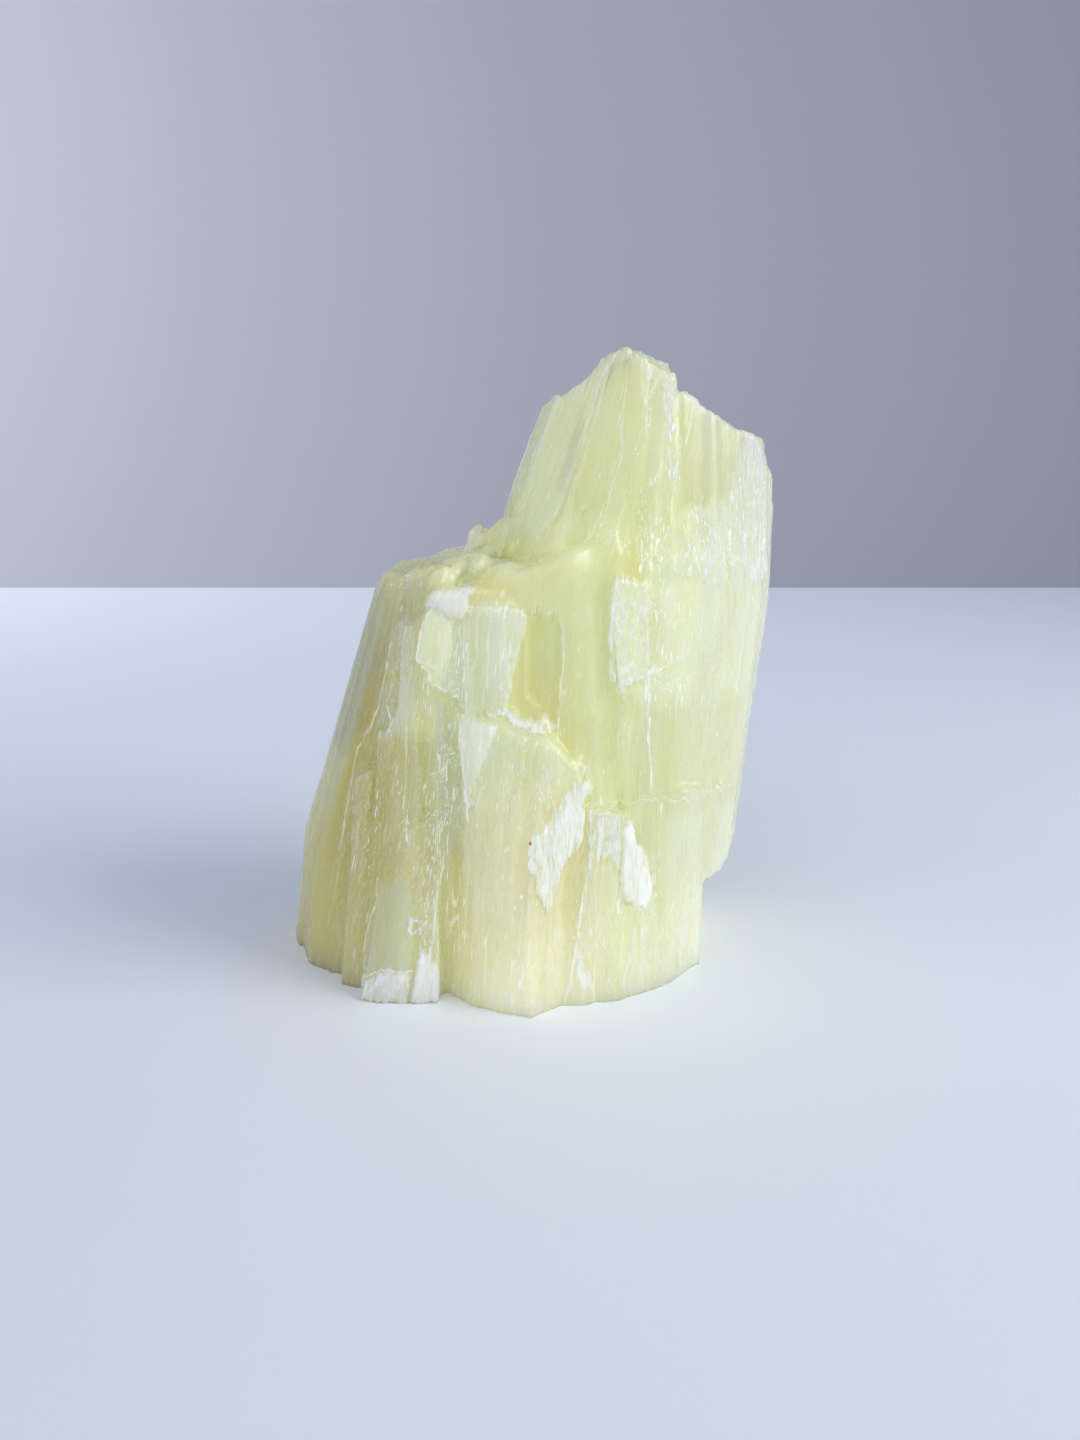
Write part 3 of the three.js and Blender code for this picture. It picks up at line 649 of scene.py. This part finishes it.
# thin pale lines where a plate ends
line_off, line_power = nearest_line(q, [
    (1.0, [(-9.7, 47.3), (-10.2, 42.3), (-9.6, 39.5), (-9.1, 35.1), (-8.8, 31)]),
    (0.3, [(-4.1, 46.9), (-4.5, 45), (-6.2, 41.9), (-7.4, 37.5), (-8.1, 33.8)]),
    (1.0, [
        (-14, 64.5), (-16.3, 60.2), (-16.8, 56.7), (-16.4, 55.6), (-14.6, 54.6), (-14.6, 52.9),
        (-12.6, 51.6), (-11.5, 50.9), (-10, 50.3),
    ]),
    (0.5, [(-12.8, 60.7), (-12.4, 55.5)]),
    (0.8, [(-8.6, 64.8), (-9.1, 61.2), (-9.3, 57.3), (-8.9, 52.1), (-8.6, 47.8)]),
    (0.6, [(-8.6, 64.9), (-5.5, 64.5), (-3.4, 64.5), (-1.3, 64.1), (0.4, 62.7), (0.5, 61.4)]),
    (0.35, [(0.5, 61.4), (-1.3, 55.5), (-2.4, 50.4)]),
    (0.5, [(-7, 63), (-7.1, 57)]),
    (0.5, [(-5.2, 62), (-5.6, 52)]),
    (0.9, [(-13.3, 30), (-13.7, 25.7), (-13, 23.1), (-14, 17.8), (-14.5, 14.1), (-14.8, 10.1)]),
    (0.6, [(6, 61.7), (6.5, 56.9), (6, 53.5), (5.7, 47.8), (5.5, 42)]),
    (0.9, [
        (14.5, 68.3), (14, 63.6), (13.8, 59.1), (14.1, 54.7), (14.7, 51.7), (16.6, 52.3),
        (19.8, 53.2), (22.1, 54.2),
    ]),
    (0.5, [(14.5, 68.2), (17.4, 67.7), (19.6, 67)]),
    (0.9, [(19.5, 52), (20.2, 46.5), (20.2, 42.9), (20.9, 34.4)]),
    (0.8, [(10.8, 33), (10.7, 24.8), (9.5, 18.1), (8.3, 8.9), (6.8, 0.5)]),
    (0.6, [(19.3, 16.8), (17.5, 6.5), (16.2, 0.1)]),
    (0.9, [(3.3, 17.8), (4.4, 24), (4.7, 30)]),
    (0.4, PEAK_BORDER),
    (0.5, [(23.6, 96.5), (23.9, 92), (24.1, 86.1), (23.3, 79.4)]),
    (0.4, [(26.6, 94.5), (25.2, 88)]),
    (0.35, [(16, 98.1), (15.3, 93.6), (15.2, 87), (13.7, 81.5), (12.5, 77.3)]),
    (0.5, [(19.1, 95.3), (19, 89.9)]),
    (0.5, [(22.1, 99), (21.7, 96.1), (22.2, 93.6)]),
    (0.45, [(21.9, 86.6), (19.8, 82.4)]),
    (0.25, [(15, 76.1), (13.7, 72.3)]),
    (0.45, [(20, 76.1), (20.2, 69.2)]),
    (0.6, [(18.6, 74.3), (18.7, 69.7)]),
    (0.4, [(11.6, 77.7), (9.3, 73.3)]),
    (0.6, [
        (-21.7, 57.8), (-22.3, 54.1), (-24.4, 45.7), (-25.5, 43.3), (-28.1, 38.8), (-29.4, 33.1),
        (-30.3, 27.5), (-31.5, 21.7),
    ]),
    (0.7, [
        (-24.2, 19.2), (-24.3, 16.1), (-26.4, 9.7), (-27.1, 3.5), (-24.5, 5), (-21.6, 6), (-18.4, 6),
    ]),
    (0.5, [(-18.4, 46), (-18.9, 38), (-19.4, 30)]),
    (0.8, [(-22.4, 47), (-21.4, 43.8)]),
    (1.0, [(-13.5, 40.7), (-13.4, 38)]),
    (1.0, [(-12.2, 39.8), (-12.2, 37.1), (-12.5, 36.2)]),
    (1.0, [(-18.9, 30.5), (-18.7, 27)]),
    (0.8, [(-15.7, 35.9), (-16, 34.7)]),
    (1.0, [(-18.1, 14.3), (-17, 14.4), (-16.8, 13.3), (-17.4, 11.9), (-18.2, 12.1), (-18.1, 14.3)]),
    (0.4, [(10.5, 32.9), (18.9, 32.8), (29.3, 32.1), (36, 32)]),
])
line_power *= front

# white nicks and painted glints: short dashes along the grain, in swarms
glints_and_nicks = strongest(
    (0.55, patch, VALLEY, 2),
    (0.4, patch, RUBBLE, 3),
    (0.7, streak, [
        (15.8, 97.3), (15.1, 93.9), (14.7, 87.2), (13.8, 82), (12.5, 78.9), (10.9, 73.4),
    ], 1.2),
    (0.85, streak, [(20.3, 100.6), (19.3, 95.4), (18.7, 89.9), (18.1, 86.5)], 1.6),
    (0.85, streak, [(21.4, 83.9), (19.8, 83.5), (18.6, 80.4), (18.5, 75.1), (18.7, 70)], 1.6),
    (0.9, patch, [
        (17.5, 78.2), (22.7, 78.1), (23.4, 73.5), (22.4, 68.9), (18.3, 69), (17.3, 73.6),
    ], 2),
    (0.9, patch, [(21.7, 100.6), (23.7, 96.7), (24.5, 83.1), (22.3, 83.8), (21.3, 88.6)], 2),
    (0.7, streak, [(13.9, 75.6), (16.7, 74.4), (14.8, 73.7)], 1.4),
    (1.0, patch, [(25.8, 80.4), (29.3, 80.3), (29.7, 76.3), (26.4, 76.3)], 2),
    (0.65, patch, RIGHT_EDGE, 3),
    (0.75, patch, RIGHT_CLOUD, 4),
    (0.8, streak, [(-10.6, 58), (-9.6, 48)], 2.2),
    (0.9, streak, [(-12.6, 41), (-11.6, 35), (-12.4, 30)], 2.2),
    (0.8, streak, [(-15, 37), (-14.3, 26), (-16, 14), (-16, 8)], 2.6),
    (0.8, streak, [(-20.5, 36), (-18.9, 34), (-19.3, 26)], 1.8),
    (0.7, streak, [(3.5, 37.6), (4.2, 33), (2, 28)], 2.4),
    (0.6, patch, [(2, 12), (10, 14), (12, 2), (4, 2)], 4),
    (0.3, patch, [(-9, 40), (3, 40), (2, 8), (-10, 4)], 4),
    (0.7, patch, [(19, 66), (27, 66), (29, 46), (20, 48)], 4),
)
scattered = 0.15 + 0.5 * ramp(perlin(grain, (6, 6, 22), 84), 0.1, 0.5)
glints_and_nicks = np.maximum(glints_and_nicks, scattered * (1 - 0.8 * calm))

# how deep and yellow the stone looks
honey = 0.36 + 0.15 * ramp(p[:, 2], 64, 76) * ramp(-p[:, 0], -32, -22)
honey = honey + 0.12 * perlin(grain, (9, 9, 34), 41) + tone
honey += 0.8 * ramp(-p[:, 0], 14, 34) * (1 - 0.6 * ramp(p[:, 1], -8, 10)) - 0.4 * ramp(p[:, 0], 16, 34)
honey += added(
    (0.2, patch, RECESS, 1.2),
    (0.15, patch, RECESS_DEEP, 1.2),
    (0.2, patch, LOBES, 4),
    (0.3, streak, [(-6, 68), (-3, 67)], 3),
    (0.3, streak, [(-1.3, 27.4), (0.4, 25), (-1, 21.5)], 2.2),
    (0.25, streak, [(3.4, 17.5), (6, 15.5)], 3),
    (0.25, patch, [(8.2, 36.1), (10.6, 33.8), (10.3, 24.8), (8.3, 13.1), (5, 15.2), (7.8, 24.6)], 1),
    (0.25, patch, [(5.8, 41.1), (8.9, 40), (8.6, 36.1), (6.1, 36.3)], 1),
    (-0.2, patch, UPPER_BLOCK_FACE, 0.5),
    (-0.15, patch, UPPER_BLOCK_LEFT, 0.5),
    (-0.2, patch, TAIL_PLATE, 1),
    (-0.3, patch, FLAKE, 0.5),
    (-0.35, patch, LEFT_PALE, 1.5),
    (-0.4, patch, LEFT_PANE, 0.6),
    (0.15, patch, VALLEY_LOW, 3),
    (0.5, patch, OLIVE_BAND, 1),
    (0.3, patch, [(-30, 45), (-14, 45), (-14, 0), (-36, 0)], 8),
    (0.15, patch, PEAK_GLOW, 3),
    (0.12, patch, MIDDLE, 3),
    (0.25, patch, PEAK_RIGHT, 2),
)
pale = strongest(
    (0.6, patch, UPPER_BLOCK_CORNER, 0.6),
    (0.38, patch, CAP_TOP, 1),
    (0.4, patch, FOOT_WHITE, 0.6),
    (0.4, patch, FOOT_WEDGE, 0.6),
    (0.6, streak, [
        (-4.6, 48.4), (-3.4, 48.5), (-0.6, 46.9), (2.6, 45.9), (3.6, 47.2), (4.4, 45.6),
    ], 0.7),
)
# painted see-through and shade: a dark grey-olive where the dark behind would show through thin panes,
# and on the shaded left crest
see_through_dark = strongest(
    (0.2, patch, PEAK_RIGHT, 2),
    (0.35, patch, PEAK_DARK_SIDE, 1.5),
    (0.3, patch, GREY_FLAKE, 0.6),
    (0.15, patch, CAP_TOP, 1),
    (0.24, patch, VALLEY_TOP, 2),
)
see_through_dark = np.maximum(see_through_dark, 0.5 * patch(q, LEFT_GREY, 3) * ramp(-n[:, 1], -0.6, -0.1))
# painted shade: olive on the left, away from the window, on the back of the shoulder and in shaded
# patches, less towards the back; with a little random olive tone
shade_and_olive = 0.75 * ramp(-grain[:, 0], 10, 34)
shade_and_olive += 0.4 * patch(q, LEFT_SHADE, 5)
shade_and_olive -= 0.5 * patch(q, UPPER_BLOCK_LEFT, 1) * front
shade_and_olive *= 1 - 0.7 * ramp(p[:, 1], -8, 10)
shade_and_olive = np.maximum(shade_and_olive, 0.3 * patch(q, SHOULDER_BACK, 4))
shade_and_olive = np.maximum(shade_and_olive, 0.16 * ramp(perlin(grain, (6, 6, 18), 92), -0.1, 0.5))
shade_and_olive = np.maximum(shade_and_olive, strongest(
    (0.3, patch, UPPER_BLOCK_SHADE, 1),
    (0.45, patch, LEFT_DARK, 2),
    (0.3, patch, VALLEY_LOW, 3),
    (0.2, patch, PEAK_RIGHT, 2),
    (0.08, patch, PEAK_LEFT_FACE, 0.6),
    (0.22, patch, RIGHT_BELT, 4),
    (0.3, patch, [(-18, 16), (-14.2, 16), (-14.8, 9), (-18.2, 9)], 1.5),
))
# painted grey: grey-green shade and see-through where the grey wall would show through or be reflected,
# on thin plates, the peak's left face and both edges
painted_grey = strongest(
    (0.25, patch, GREY_FLAKE, 0.5),
    (0.28, patch, PEAK_LEFT_FACE, 0.6),
    (0.25, patch, VALLEY_TOP, 2),
    (0.2, patch, LEFT_PANE, 0.6),
    (0.3, patch, LEFT_PALE, 1.5),
    (0.2, patch, FRONT_BLOCK_CAP, 0.5),
    (0.3, patch, UPPER_BLOCK_SHADE, 0.6),
    (0.25, patch, RIGHT_EDGE, 2),
    (0.1, patch, RIGHT_FOOT, 6),
)
left_painted_grey = 0.35 * patch(q, LEFT_EDGE, 2) * ramp(-n[:, 1], -0.5, -0.1) * ramp(p[:, 2], 4, 36)
painted_grey = np.maximum(painted_grey, left_painted_grey)
# painted glow, standing in for light that wells up inside: in the foot, behind the shoulder, on the
# peak's rims and on some plates
painted_glow = 0.18 * ramp(-p[:, 2], -26, -1) * (0.3 + 0.7 * ramp(p[:, 0], -16, -4)) + 0.1 * rim + strongest(
    (0.12, patch, RUBBLE, 6),
    (0.18, patch, UPPER_BLOCK_LEFT, 1),
    (0.05, streak, LOBE_TOP, 6),
    (0.08, patch, [(-13, 69), (-4, 74), (3, 76), (3, 72.5), (-8, 68)], 3),
    (0.06, patch, [(14, 68), (28, 68), (28, 50), (14, 50)], 3),
    (0.12, patch, [(-24, 62), (-9, 62), (-9, 44), (-22, 44)], 4),
    (0.08, patch, VALLEY, 3),
    (0.05, patch, FRONT_LOW, 8),
    (0.14, patch, PEAK_LEFT_FACE, 1),
    (0.12, patch, FRONT_BLOCK_CAP, 1),
    (0.12, patch, UPPER_BLOCK_CORNER, 1),
    (0.1, patch, FOOT_WHITE, 1),
    (0.1, patch, FOOT_WEDGE, 1),
    (0.08, patch, SPLINTER, 1),
    (0.08, patch, FAN_CORE, 1),
)
painted_glow += 0.1 * patch(q, SHOULDER_TOP, 3) * ramp(n[:, 2], 0.2, 0.6)
warm = 0.5 * patch(q, FRONT_LOW, 10) * front + 0.2 * ramp(-p[:, 2], -40, -20) * ramp(p[:, 0], -34, -16)

for name, values in (
    ("frost_and_sheen", frost_and_sheen),
    ("honey", honey),
    ("glints_and_nicks", glints_and_nicks),
    ("shade_and_olive", shade_and_olive),
    ("painted_grey", painted_grey),
    ("see_through_dark", see_through_dark),
    ("pale", pale),
    ("edge", edge),
    ("crease_shade", crease_shade),
    ("thin", thin),
    ("calm", calm),
    ("painted_glow", painted_glow),
    ("warm", warm),
    ("line power", line_power),
):
    made = stone.attributes.new(name, "FLOAT", "POINT")
    made.data.foreach_set("value", np.clip(values, 0, 1).astype(np.float32))
made = stone.attributes.new("line off", "FLOAT", "POINT")
made.data.foreach_set("value", line_off.astype(np.float32))
made = stone.attributes.new("grain", "FLOAT_VECTOR", "POINT")
made.data.foreach_set("vector", grain.astype(np.float32).ravel())

foot_in_one_face(stone)
stone.shade_smooth()
chunk = bpy.data.objects.new("calcite", stone)
scene.collection.objects.link(chunk)

# ---------------------------------------------------------------- material
mat = bpy.data.materials.new("calcite")
mat.use_nodes = True
tree = mat.node_tree
bsdf = tree.nodes["Principled BSDF"]


def node(kind, settings=(), **inputs):
    """A node with its settings and sockets set by name or number. A socket as a value is linked."""
    made = tree.nodes.new(kind)
    for name, value in dict(settings).items():
        setattr(made, name, value)
    for name, value in inputs.items():
        key = int(name[1:]) if name[0] == "i" and name[1:].isdigit() else name.replace("_", " ")
        if isinstance(value, bpy.types.NodeSocket):
            tree.links.new(value, made.inputs[key])
        else:
            made.inputs[key].default_value = value
    return made


def attribute(name, output="Fac"):
    made = tree.nodes.new("ShaderNodeAttribute")
    made.attribute_name = name
    return made.outputs[output]


def grained(across, along):
    """The grain's own coordinates in cells that are across mm wide and along mm long."""
    scale = (1 / across, 1 / across, 1 / along)
    return node("ShaderNodeMapping", Vector=grain_at, Scale=scale).outputs[0]


def noise(at, detail, rough):
    return node("ShaderNodeTexNoise", Vector=at, Scale=1.0, Detail=detail, Roughness=rough)


def fibrous(across, along, detail, rough=0.55):
    """Noise drawn out along the grain."""
    return noise(grained(across, along), detail, rough).outputs["Fac"]


def faded(value, low, high, to_low=0.0, to_high=1.0):
    """Takes value from the range low to high into the range to_low to to_high."""
    return node("ShaderNodeMapRange", i0=value, i1=low, i2=high, i3=to_low, i4=to_high).outputs[0]


def calc(operation, a, b=0.0):
    return node("ShaderNodeMath", {"operation": operation}, i0=a, i1=b).outputs[0]


def mixed(factor, a, b, blend="MIX"):
    m = node("ShaderNodeMix", {"data_type": "RGBA", "blend_type": blend})
    for key, value in (("Factor_Float", factor), ("A_Color", a), ("B_Color", b)):
        socket = next(i for i in m.inputs if i.identifier == key)
        if isinstance(value, bpy.types.NodeSocket):
            tree.links.new(value, socket)
        else:
            socket.default_value = value if key == "Factor_Float" else (*value, 1)
    return next(o for o in m.outputs if o.identifier == "Result_Color")


MILK = (0.83, 0.87, 0.61)
LEMON = (0.78, 0.825, 0.43)
HONEY = (0.78, 0.70, 0.26)
SHADE_OLIVE = (0.52, 0.46, 0.16)
PAINTED_GREY = (0.62, 0.68, 0.58)
SEE_THROUGH_DARK = (0.41, 0.42, 0.31)
WARM = (0.86, 0.80, 0.49)
# the white of frost, also used for the painted highlights on edges and the painted sheen
FROST_AND_HIGHLIGHT = (0.96, 0.98, 0.93)
FROST_DEEP = (0.74, 0.79, 0.62)
RUST = (0.62, 0.16, 0.06)
AMBER = (0.80, 0.42, 0.10)
INK = (0.05, 0.045, 0.03)
GLOW = 0.4    # of its own colour, where the stone glows most

# inclusions: colour, radius and place in mm
SPECKS = (
    (RUST, 0.35, (1.1, -26.0, 28.6)),
    (AMBER, 0.35, (-27.6, -11.5, 24.7)),
    (INK, 0.3, (-34.1, -12.5, 4.8)),
    (INK, 0.25, (12.6, -9.0, 98.3)),
    (INK, 0.2, (11.6, -9.5, 91.7)),
)
grain_at = attribute("grain", "Vector")
streaks = fibrous(1.3, 24, 4)
hairs = fibrous(0.22, 5, 3)
clouds = fibrous(6, 15, 3)
crumbs_in = fibrous(0.45, 0.9, 4, 0.7)
torn_in = fibrous(0.4, 4.5, 3, 0.6)
hairlines = fibrous(0.17, 5, 1, 0.5)
dashes = fibrous(0.24, 3.6, 0, 0.5)
grit = fibrous(0.35, 0.5, 1, 0.5)
shift = noise(grained(1.2, 5), 2.0, 0.5).outputs["Color"]
bent = node("ShaderNodeVectorMath", {"operation": "MULTIPLY_ADD"},
            i0=shift, i1=(0.7, 0.7, 0.5), i2=grained(1.5, 9)).outputs[0]
sheets = node("ShaderNodeTexVoronoi", {"feature": "F1"}, Vector=bent, Scale=1.0)
sheet = node("ShaderNodeSeparateColor", Color=sheets.outputs["Color"])
to_edge = {"feature": "DISTANCE_TO_EDGE"}
seams = node("ShaderNodeTexVoronoi", to_edge, Vector=grained(4.2, 36), Scale=1.0)
fibrousness = faded(attribute("calm"), 0.0, 1.0, 1.0, 0.15)

# milk, lemon and honey by depth, with painted shade in olive and grey, and a painted dark see-through,
# in places
depth = calc("ADD", attribute("honey"), faded(clouds, 0.3, 0.7, -0.16, 0.16))
sheet_tone = faded(sheet.outputs[0], 0.0, 1.0, -0.07, 0.07)
sheet_tone = calc("ADD", faded(streaks, 0.3, 0.7, -0.05, 0.05), sheet_tone)
depth = calc("ADD", depth, calc("MULTIPLY", sheet_tone, fibrousness))
colour = mixed(faded(depth, 0.0, 0.5), MILK, LEMON)
colour = mixed(faded(depth, 0.5, 1.1), colour, HONEY)
colour = mixed(attribute("warm"), colour, WARM)
colour = mixed(attribute("shade_and_olive"), colour, SHADE_OLIVE)
colour = mixed(attribute("painted_grey"), colour, PAINTED_GREY)
colour = mixed(attribute("see_through_dark"), colour, SEE_THROUGH_DARK)
colour = mixed(calc("MULTIPLY", attribute("pale"), faded(clouds, 0.35, 0.65, 0.6, 1.0)), colour, FROST_AND_HIGHLIGHT)
# pale hairs along the grain, thin lines where plates part, and a painted highlight on convex edges
haze = calc("MULTIPLY", faded(hairlines, 0.6, 0.68), faded(clouds, 0.4, 0.62, 0.1, 0.4))
colour = mixed(calc("MULTIPLY", haze, fibrousness), colour, FROST_AND_HIGHLIGHT)
fewer = faded(attribute("calm"), 0.0, 1.0, 1.0, 0.4)
grains = calc("MULTIPLY", faded(crumbs_in, 0.52, 0.68, 0.0, 0.3), fewer)
colour = mixed(grains, colour, FROST_AND_HIGHLIGHT)
line = faded(seams.outputs["Distance"], 0.008, 0.02, 1.0, 0.0)
line = calc("MULTIPLY", calc("MULTIPLY", line, faded(streaks, 0.52, 0.64, 0.0, 0.5)), fibrousness)
off_line = calc("ABSOLUTE", calc("ADD", attribute("line off"), faded(torn_in, 0.0, 1.0, -0.2, 0.2)))
drawn = calc("MULTIPLY", faded(off_line, 0.08, 0.2, 1.0, 0.0), attribute("line power"))
drawn = calc("MULTIPLY", drawn, faded(hairs, 0.38, 0.55, 0.05, 1.0))
line = calc("MAXIMUM", line, drawn)
edge_highlight = calc("MULTIPLY", attribute("edge"), faded(torn_in, 0.45, 0.65, 0.0, 0.45))
# painted shade: deeper honey in the concave creases
colour = mixed(calc("MULTIPLY", attribute("crease_shade"), 0.22), colour, HONEY)
colour = mixed(calc("MAXIMUM", line, edge_highlight), colour, FROST_AND_HIGHLIGHT)
# torn white fibres where the stone is bruised, and on the right edge a painted sheen of the window
bruised_and_sheen = calc("ADD", attribute("frost_and_sheen"), faded(torn_in, 0.3, 0.7, -0.42, 0.42))
bruised_and_sheen = calc("ADD", bruised_and_sheen, faded(crumbs_in, 0.3, 0.7, -0.16, 0.16))
bruised_and_sheen = faded(bruised_and_sheen, 0.4, 0.85)
frost_tone = mixed(faded(hairs, 0.38, 0.6), FROST_DEEP, FROST_AND_HIGHLIGHT)
colour = mixed(bruised_and_sheen, colour, frost_tone)
# nicks and painted glints: short white dashes and grit, in swarms
swarm = attribute("glints_and_nicks")
dashed = faded(calc("ADD", dashes, faded(swarm, 0.0, 1.0, -0.16, 0.03)), 0.69, 0.72)
gritty = faded(calc("ADD", grit, faded(swarm, 0.0, 1.0, -0.16, 0.02)), 0.66, 0.70)
glints_and_nick_marks = calc("MAXIMUM", dashed, gritty)
colour = mixed(glints_and_nick_marks, colour, (1.0, 1.0, 0.98))
place = node("ShaderNodeTexCoord").outputs["Object"]
for tint, size, (x, y, z) in SPECKS:
    off = node("ShaderNodeVectorMath", {"operation": "DISTANCE"}, i0=place, i1=(x * MM, y * MM, z * MM))
    inside = faded(off.outputs["Value"], 0.6 * size * MM, 1.2 * size * MM, 1.0, 0.0)
    colour = mixed(inside, colour, tint)
tree.links.new(colour, bsdf.inputs["Base Color"])

white = calc("MAXIMUM", bruised_and_sheen, glints_and_nick_marks)
roughness = calc("ADD", faded(streaks, 0.3, 0.7, 0.16, 0.36), calc("MULTIPLY", white, 0.3))
tree.links.new(roughness, bsdf.inputs["Roughness"])
clear = faded(attribute("thin"), 0.3, 1.0, 0.0, 0.35)
see_through = calc("MULTIPLY", clear, faded(white, 0.0, 1.0, 1.0, 0.0))
tree.links.new(see_through, bsdf.inputs["Transmission Weight"])
bsdf.inputs["Subsurface Weight"].default_value = 0.7
bsdf.inputs["Subsurface Radius"].default_value = (1.0, 1.0, 0.6)
bsdf.inputs["Subsurface Scale"].default_value = 0.04
# painted glow: the stone emits its own colour where light from the pale board below, and light inside
# the stone, would brighten it; white marks and lines get a painted glint
glint = calc("MAXIMUM", calc("MAXIMUM", glints_and_nick_marks, line), calc("MULTIPLY", bruised_and_sheen, 0.4))
glint = calc("MULTIPLY", glint, 0.15)
glow = calc("MULTIPLY", calc("ADD", attribute("painted_glow"), glint), 1 / GLOW)
glow = node("ShaderNodeVectorMath", {"operation": "SCALE"}, i0=colour, Scale=glow)
tree.links.new(glow.outputs[0], bsdf.inputs["Emission Color"])
bsdf.inputs["Emission Strength"].default_value = GLOW
bsdf.inputs["IOR"].default_value = 1.5

height = calc("ADD", calc("MULTIPLY", streaks, 0.10), calc("MULTIPLY", hairs, 0.11))
height = calc("ADD", height, calc("MULTIPLY", sheet.outputs[1], 0.13))
height = calc("MULTIPLY", height, fibrousness)
height = calc("ADD", height, calc("MULTIPLY", clouds, 0.5))
torn_up = calc("MULTIPLY", calc("ADD", crumbs_in, torn_in), calc("MULTIPLY", white, 0.35))
height = calc("ADD", height, torn_up)
bump = node("ShaderNodeBump", Height=height, Strength=0.7, Distance=0.0006)
tree.links.new(bump.outputs[0], bsdf.inputs["Normal"])

stone.materials.clear()
stone.materials.append(mat)

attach(chunk, "root")
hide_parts("calcite_chunk")


# ---------------------------------------------------------------- studio
def plane(name, corners, colour, rough=0.7):
    mesh = bpy.data.meshes.new(name)
    mesh.from_pydata(corners, [], [tuple(range(len(corners)))])
    o = bpy.data.objects.new(name, mesh)
    scene.collection.objects.link(o)
    m = bpy.data.materials.new(name)
    m.use_nodes = True
    m.node_tree.nodes["Principled BSDF"].inputs["Base Color"].default_value = (*colour, 1)
    m.node_tree.nodes["Principled BSDF"].inputs["Roughness"].default_value = rough
    mesh.materials.append(m)
    return o


FAR = 3.0       # m: how far the floor and the wall reach
BACK = 0.5      # m: where the wall stands
FLOOR = (0.87, 0.92, 1.0)
WALL = (0.34, 0.355, 0.40)

on_floor = [(-FAR, -FAR, 0), (FAR, -FAR, 0), (FAR, BACK, 0), (-FAR, BACK, 0)]
on_wall = [(-FAR, BACK, 0), (FAR, BACK, 0), (FAR, BACK, FAR), (-FAR, BACK, FAR)]
floor = plane("floor", on_floor, FLOOR)
wall = plane("wall", on_wall, WALL)


def area(name, place, target, size, power, colour=(1, 1, 1), spread_angle=180):
    light = bpy.data.lights.new(name, "AREA")
    light.shape = "RECTANGLE"
    light.size, light.size_y = size
    light.energy = power
    light.color = colour
    light.spread = math.radians(spread_angle)
    o = bpy.data.objects.new(name, light)
    o.location = place
    o.rotation_euler = (Vector(target) - Vector(place)).to_track_quat("-Z", "Y").to_euler()
    scene.collection.objects.link(o)


STONE_AT = (0, 0, 0.05)    # m
ROOM = (0.63, 0.67, 0.80)
ROOM_POWER = 0.66

area("window", (0.6, -0.22, 0.42), STONE_AT, (0.4, 0.5), 1.35, (1.0, 0.98, 0.94), 120)
area("wash", (-0.9, 0.0, 0.4), (-0.5, 0.5, 0.3), (0.6, 0.6), 2.5, (1.0, 1.0, 1.0), 90)
area("room", (-0.45, -0.7, 0.55), STONE_AT, (0.9, 0.9), 1.8, (1.0, 0.99, 0.97))

world = bpy.data.worlds.new("room")
world.use_nodes = True
world.node_tree.nodes["Background"].inputs["Color"].default_value = (*ROOM, 1)
world.node_tree.nodes["Background"].inputs["Strength"].default_value = ROOM_POWER
scene.world = world
scene.view_settings.view_transform = "Standard"

PITCH = 14.6    # degrees that the camera looks down
EYE = (0.00265, -0.17951, 0.0885)    # m

camera = bpy.data.cameras.new("camera")
camera.lens = 26.25
camera.sensor_width = 36
camera.clip_start = 0.01
eye = bpy.data.objects.new("camera", camera)
eye.location = EYE
eye.rotation_euler = (math.radians(90 - PITCH), 0, 0)
scene.collection.objects.link(eye)
scene.camera = eye
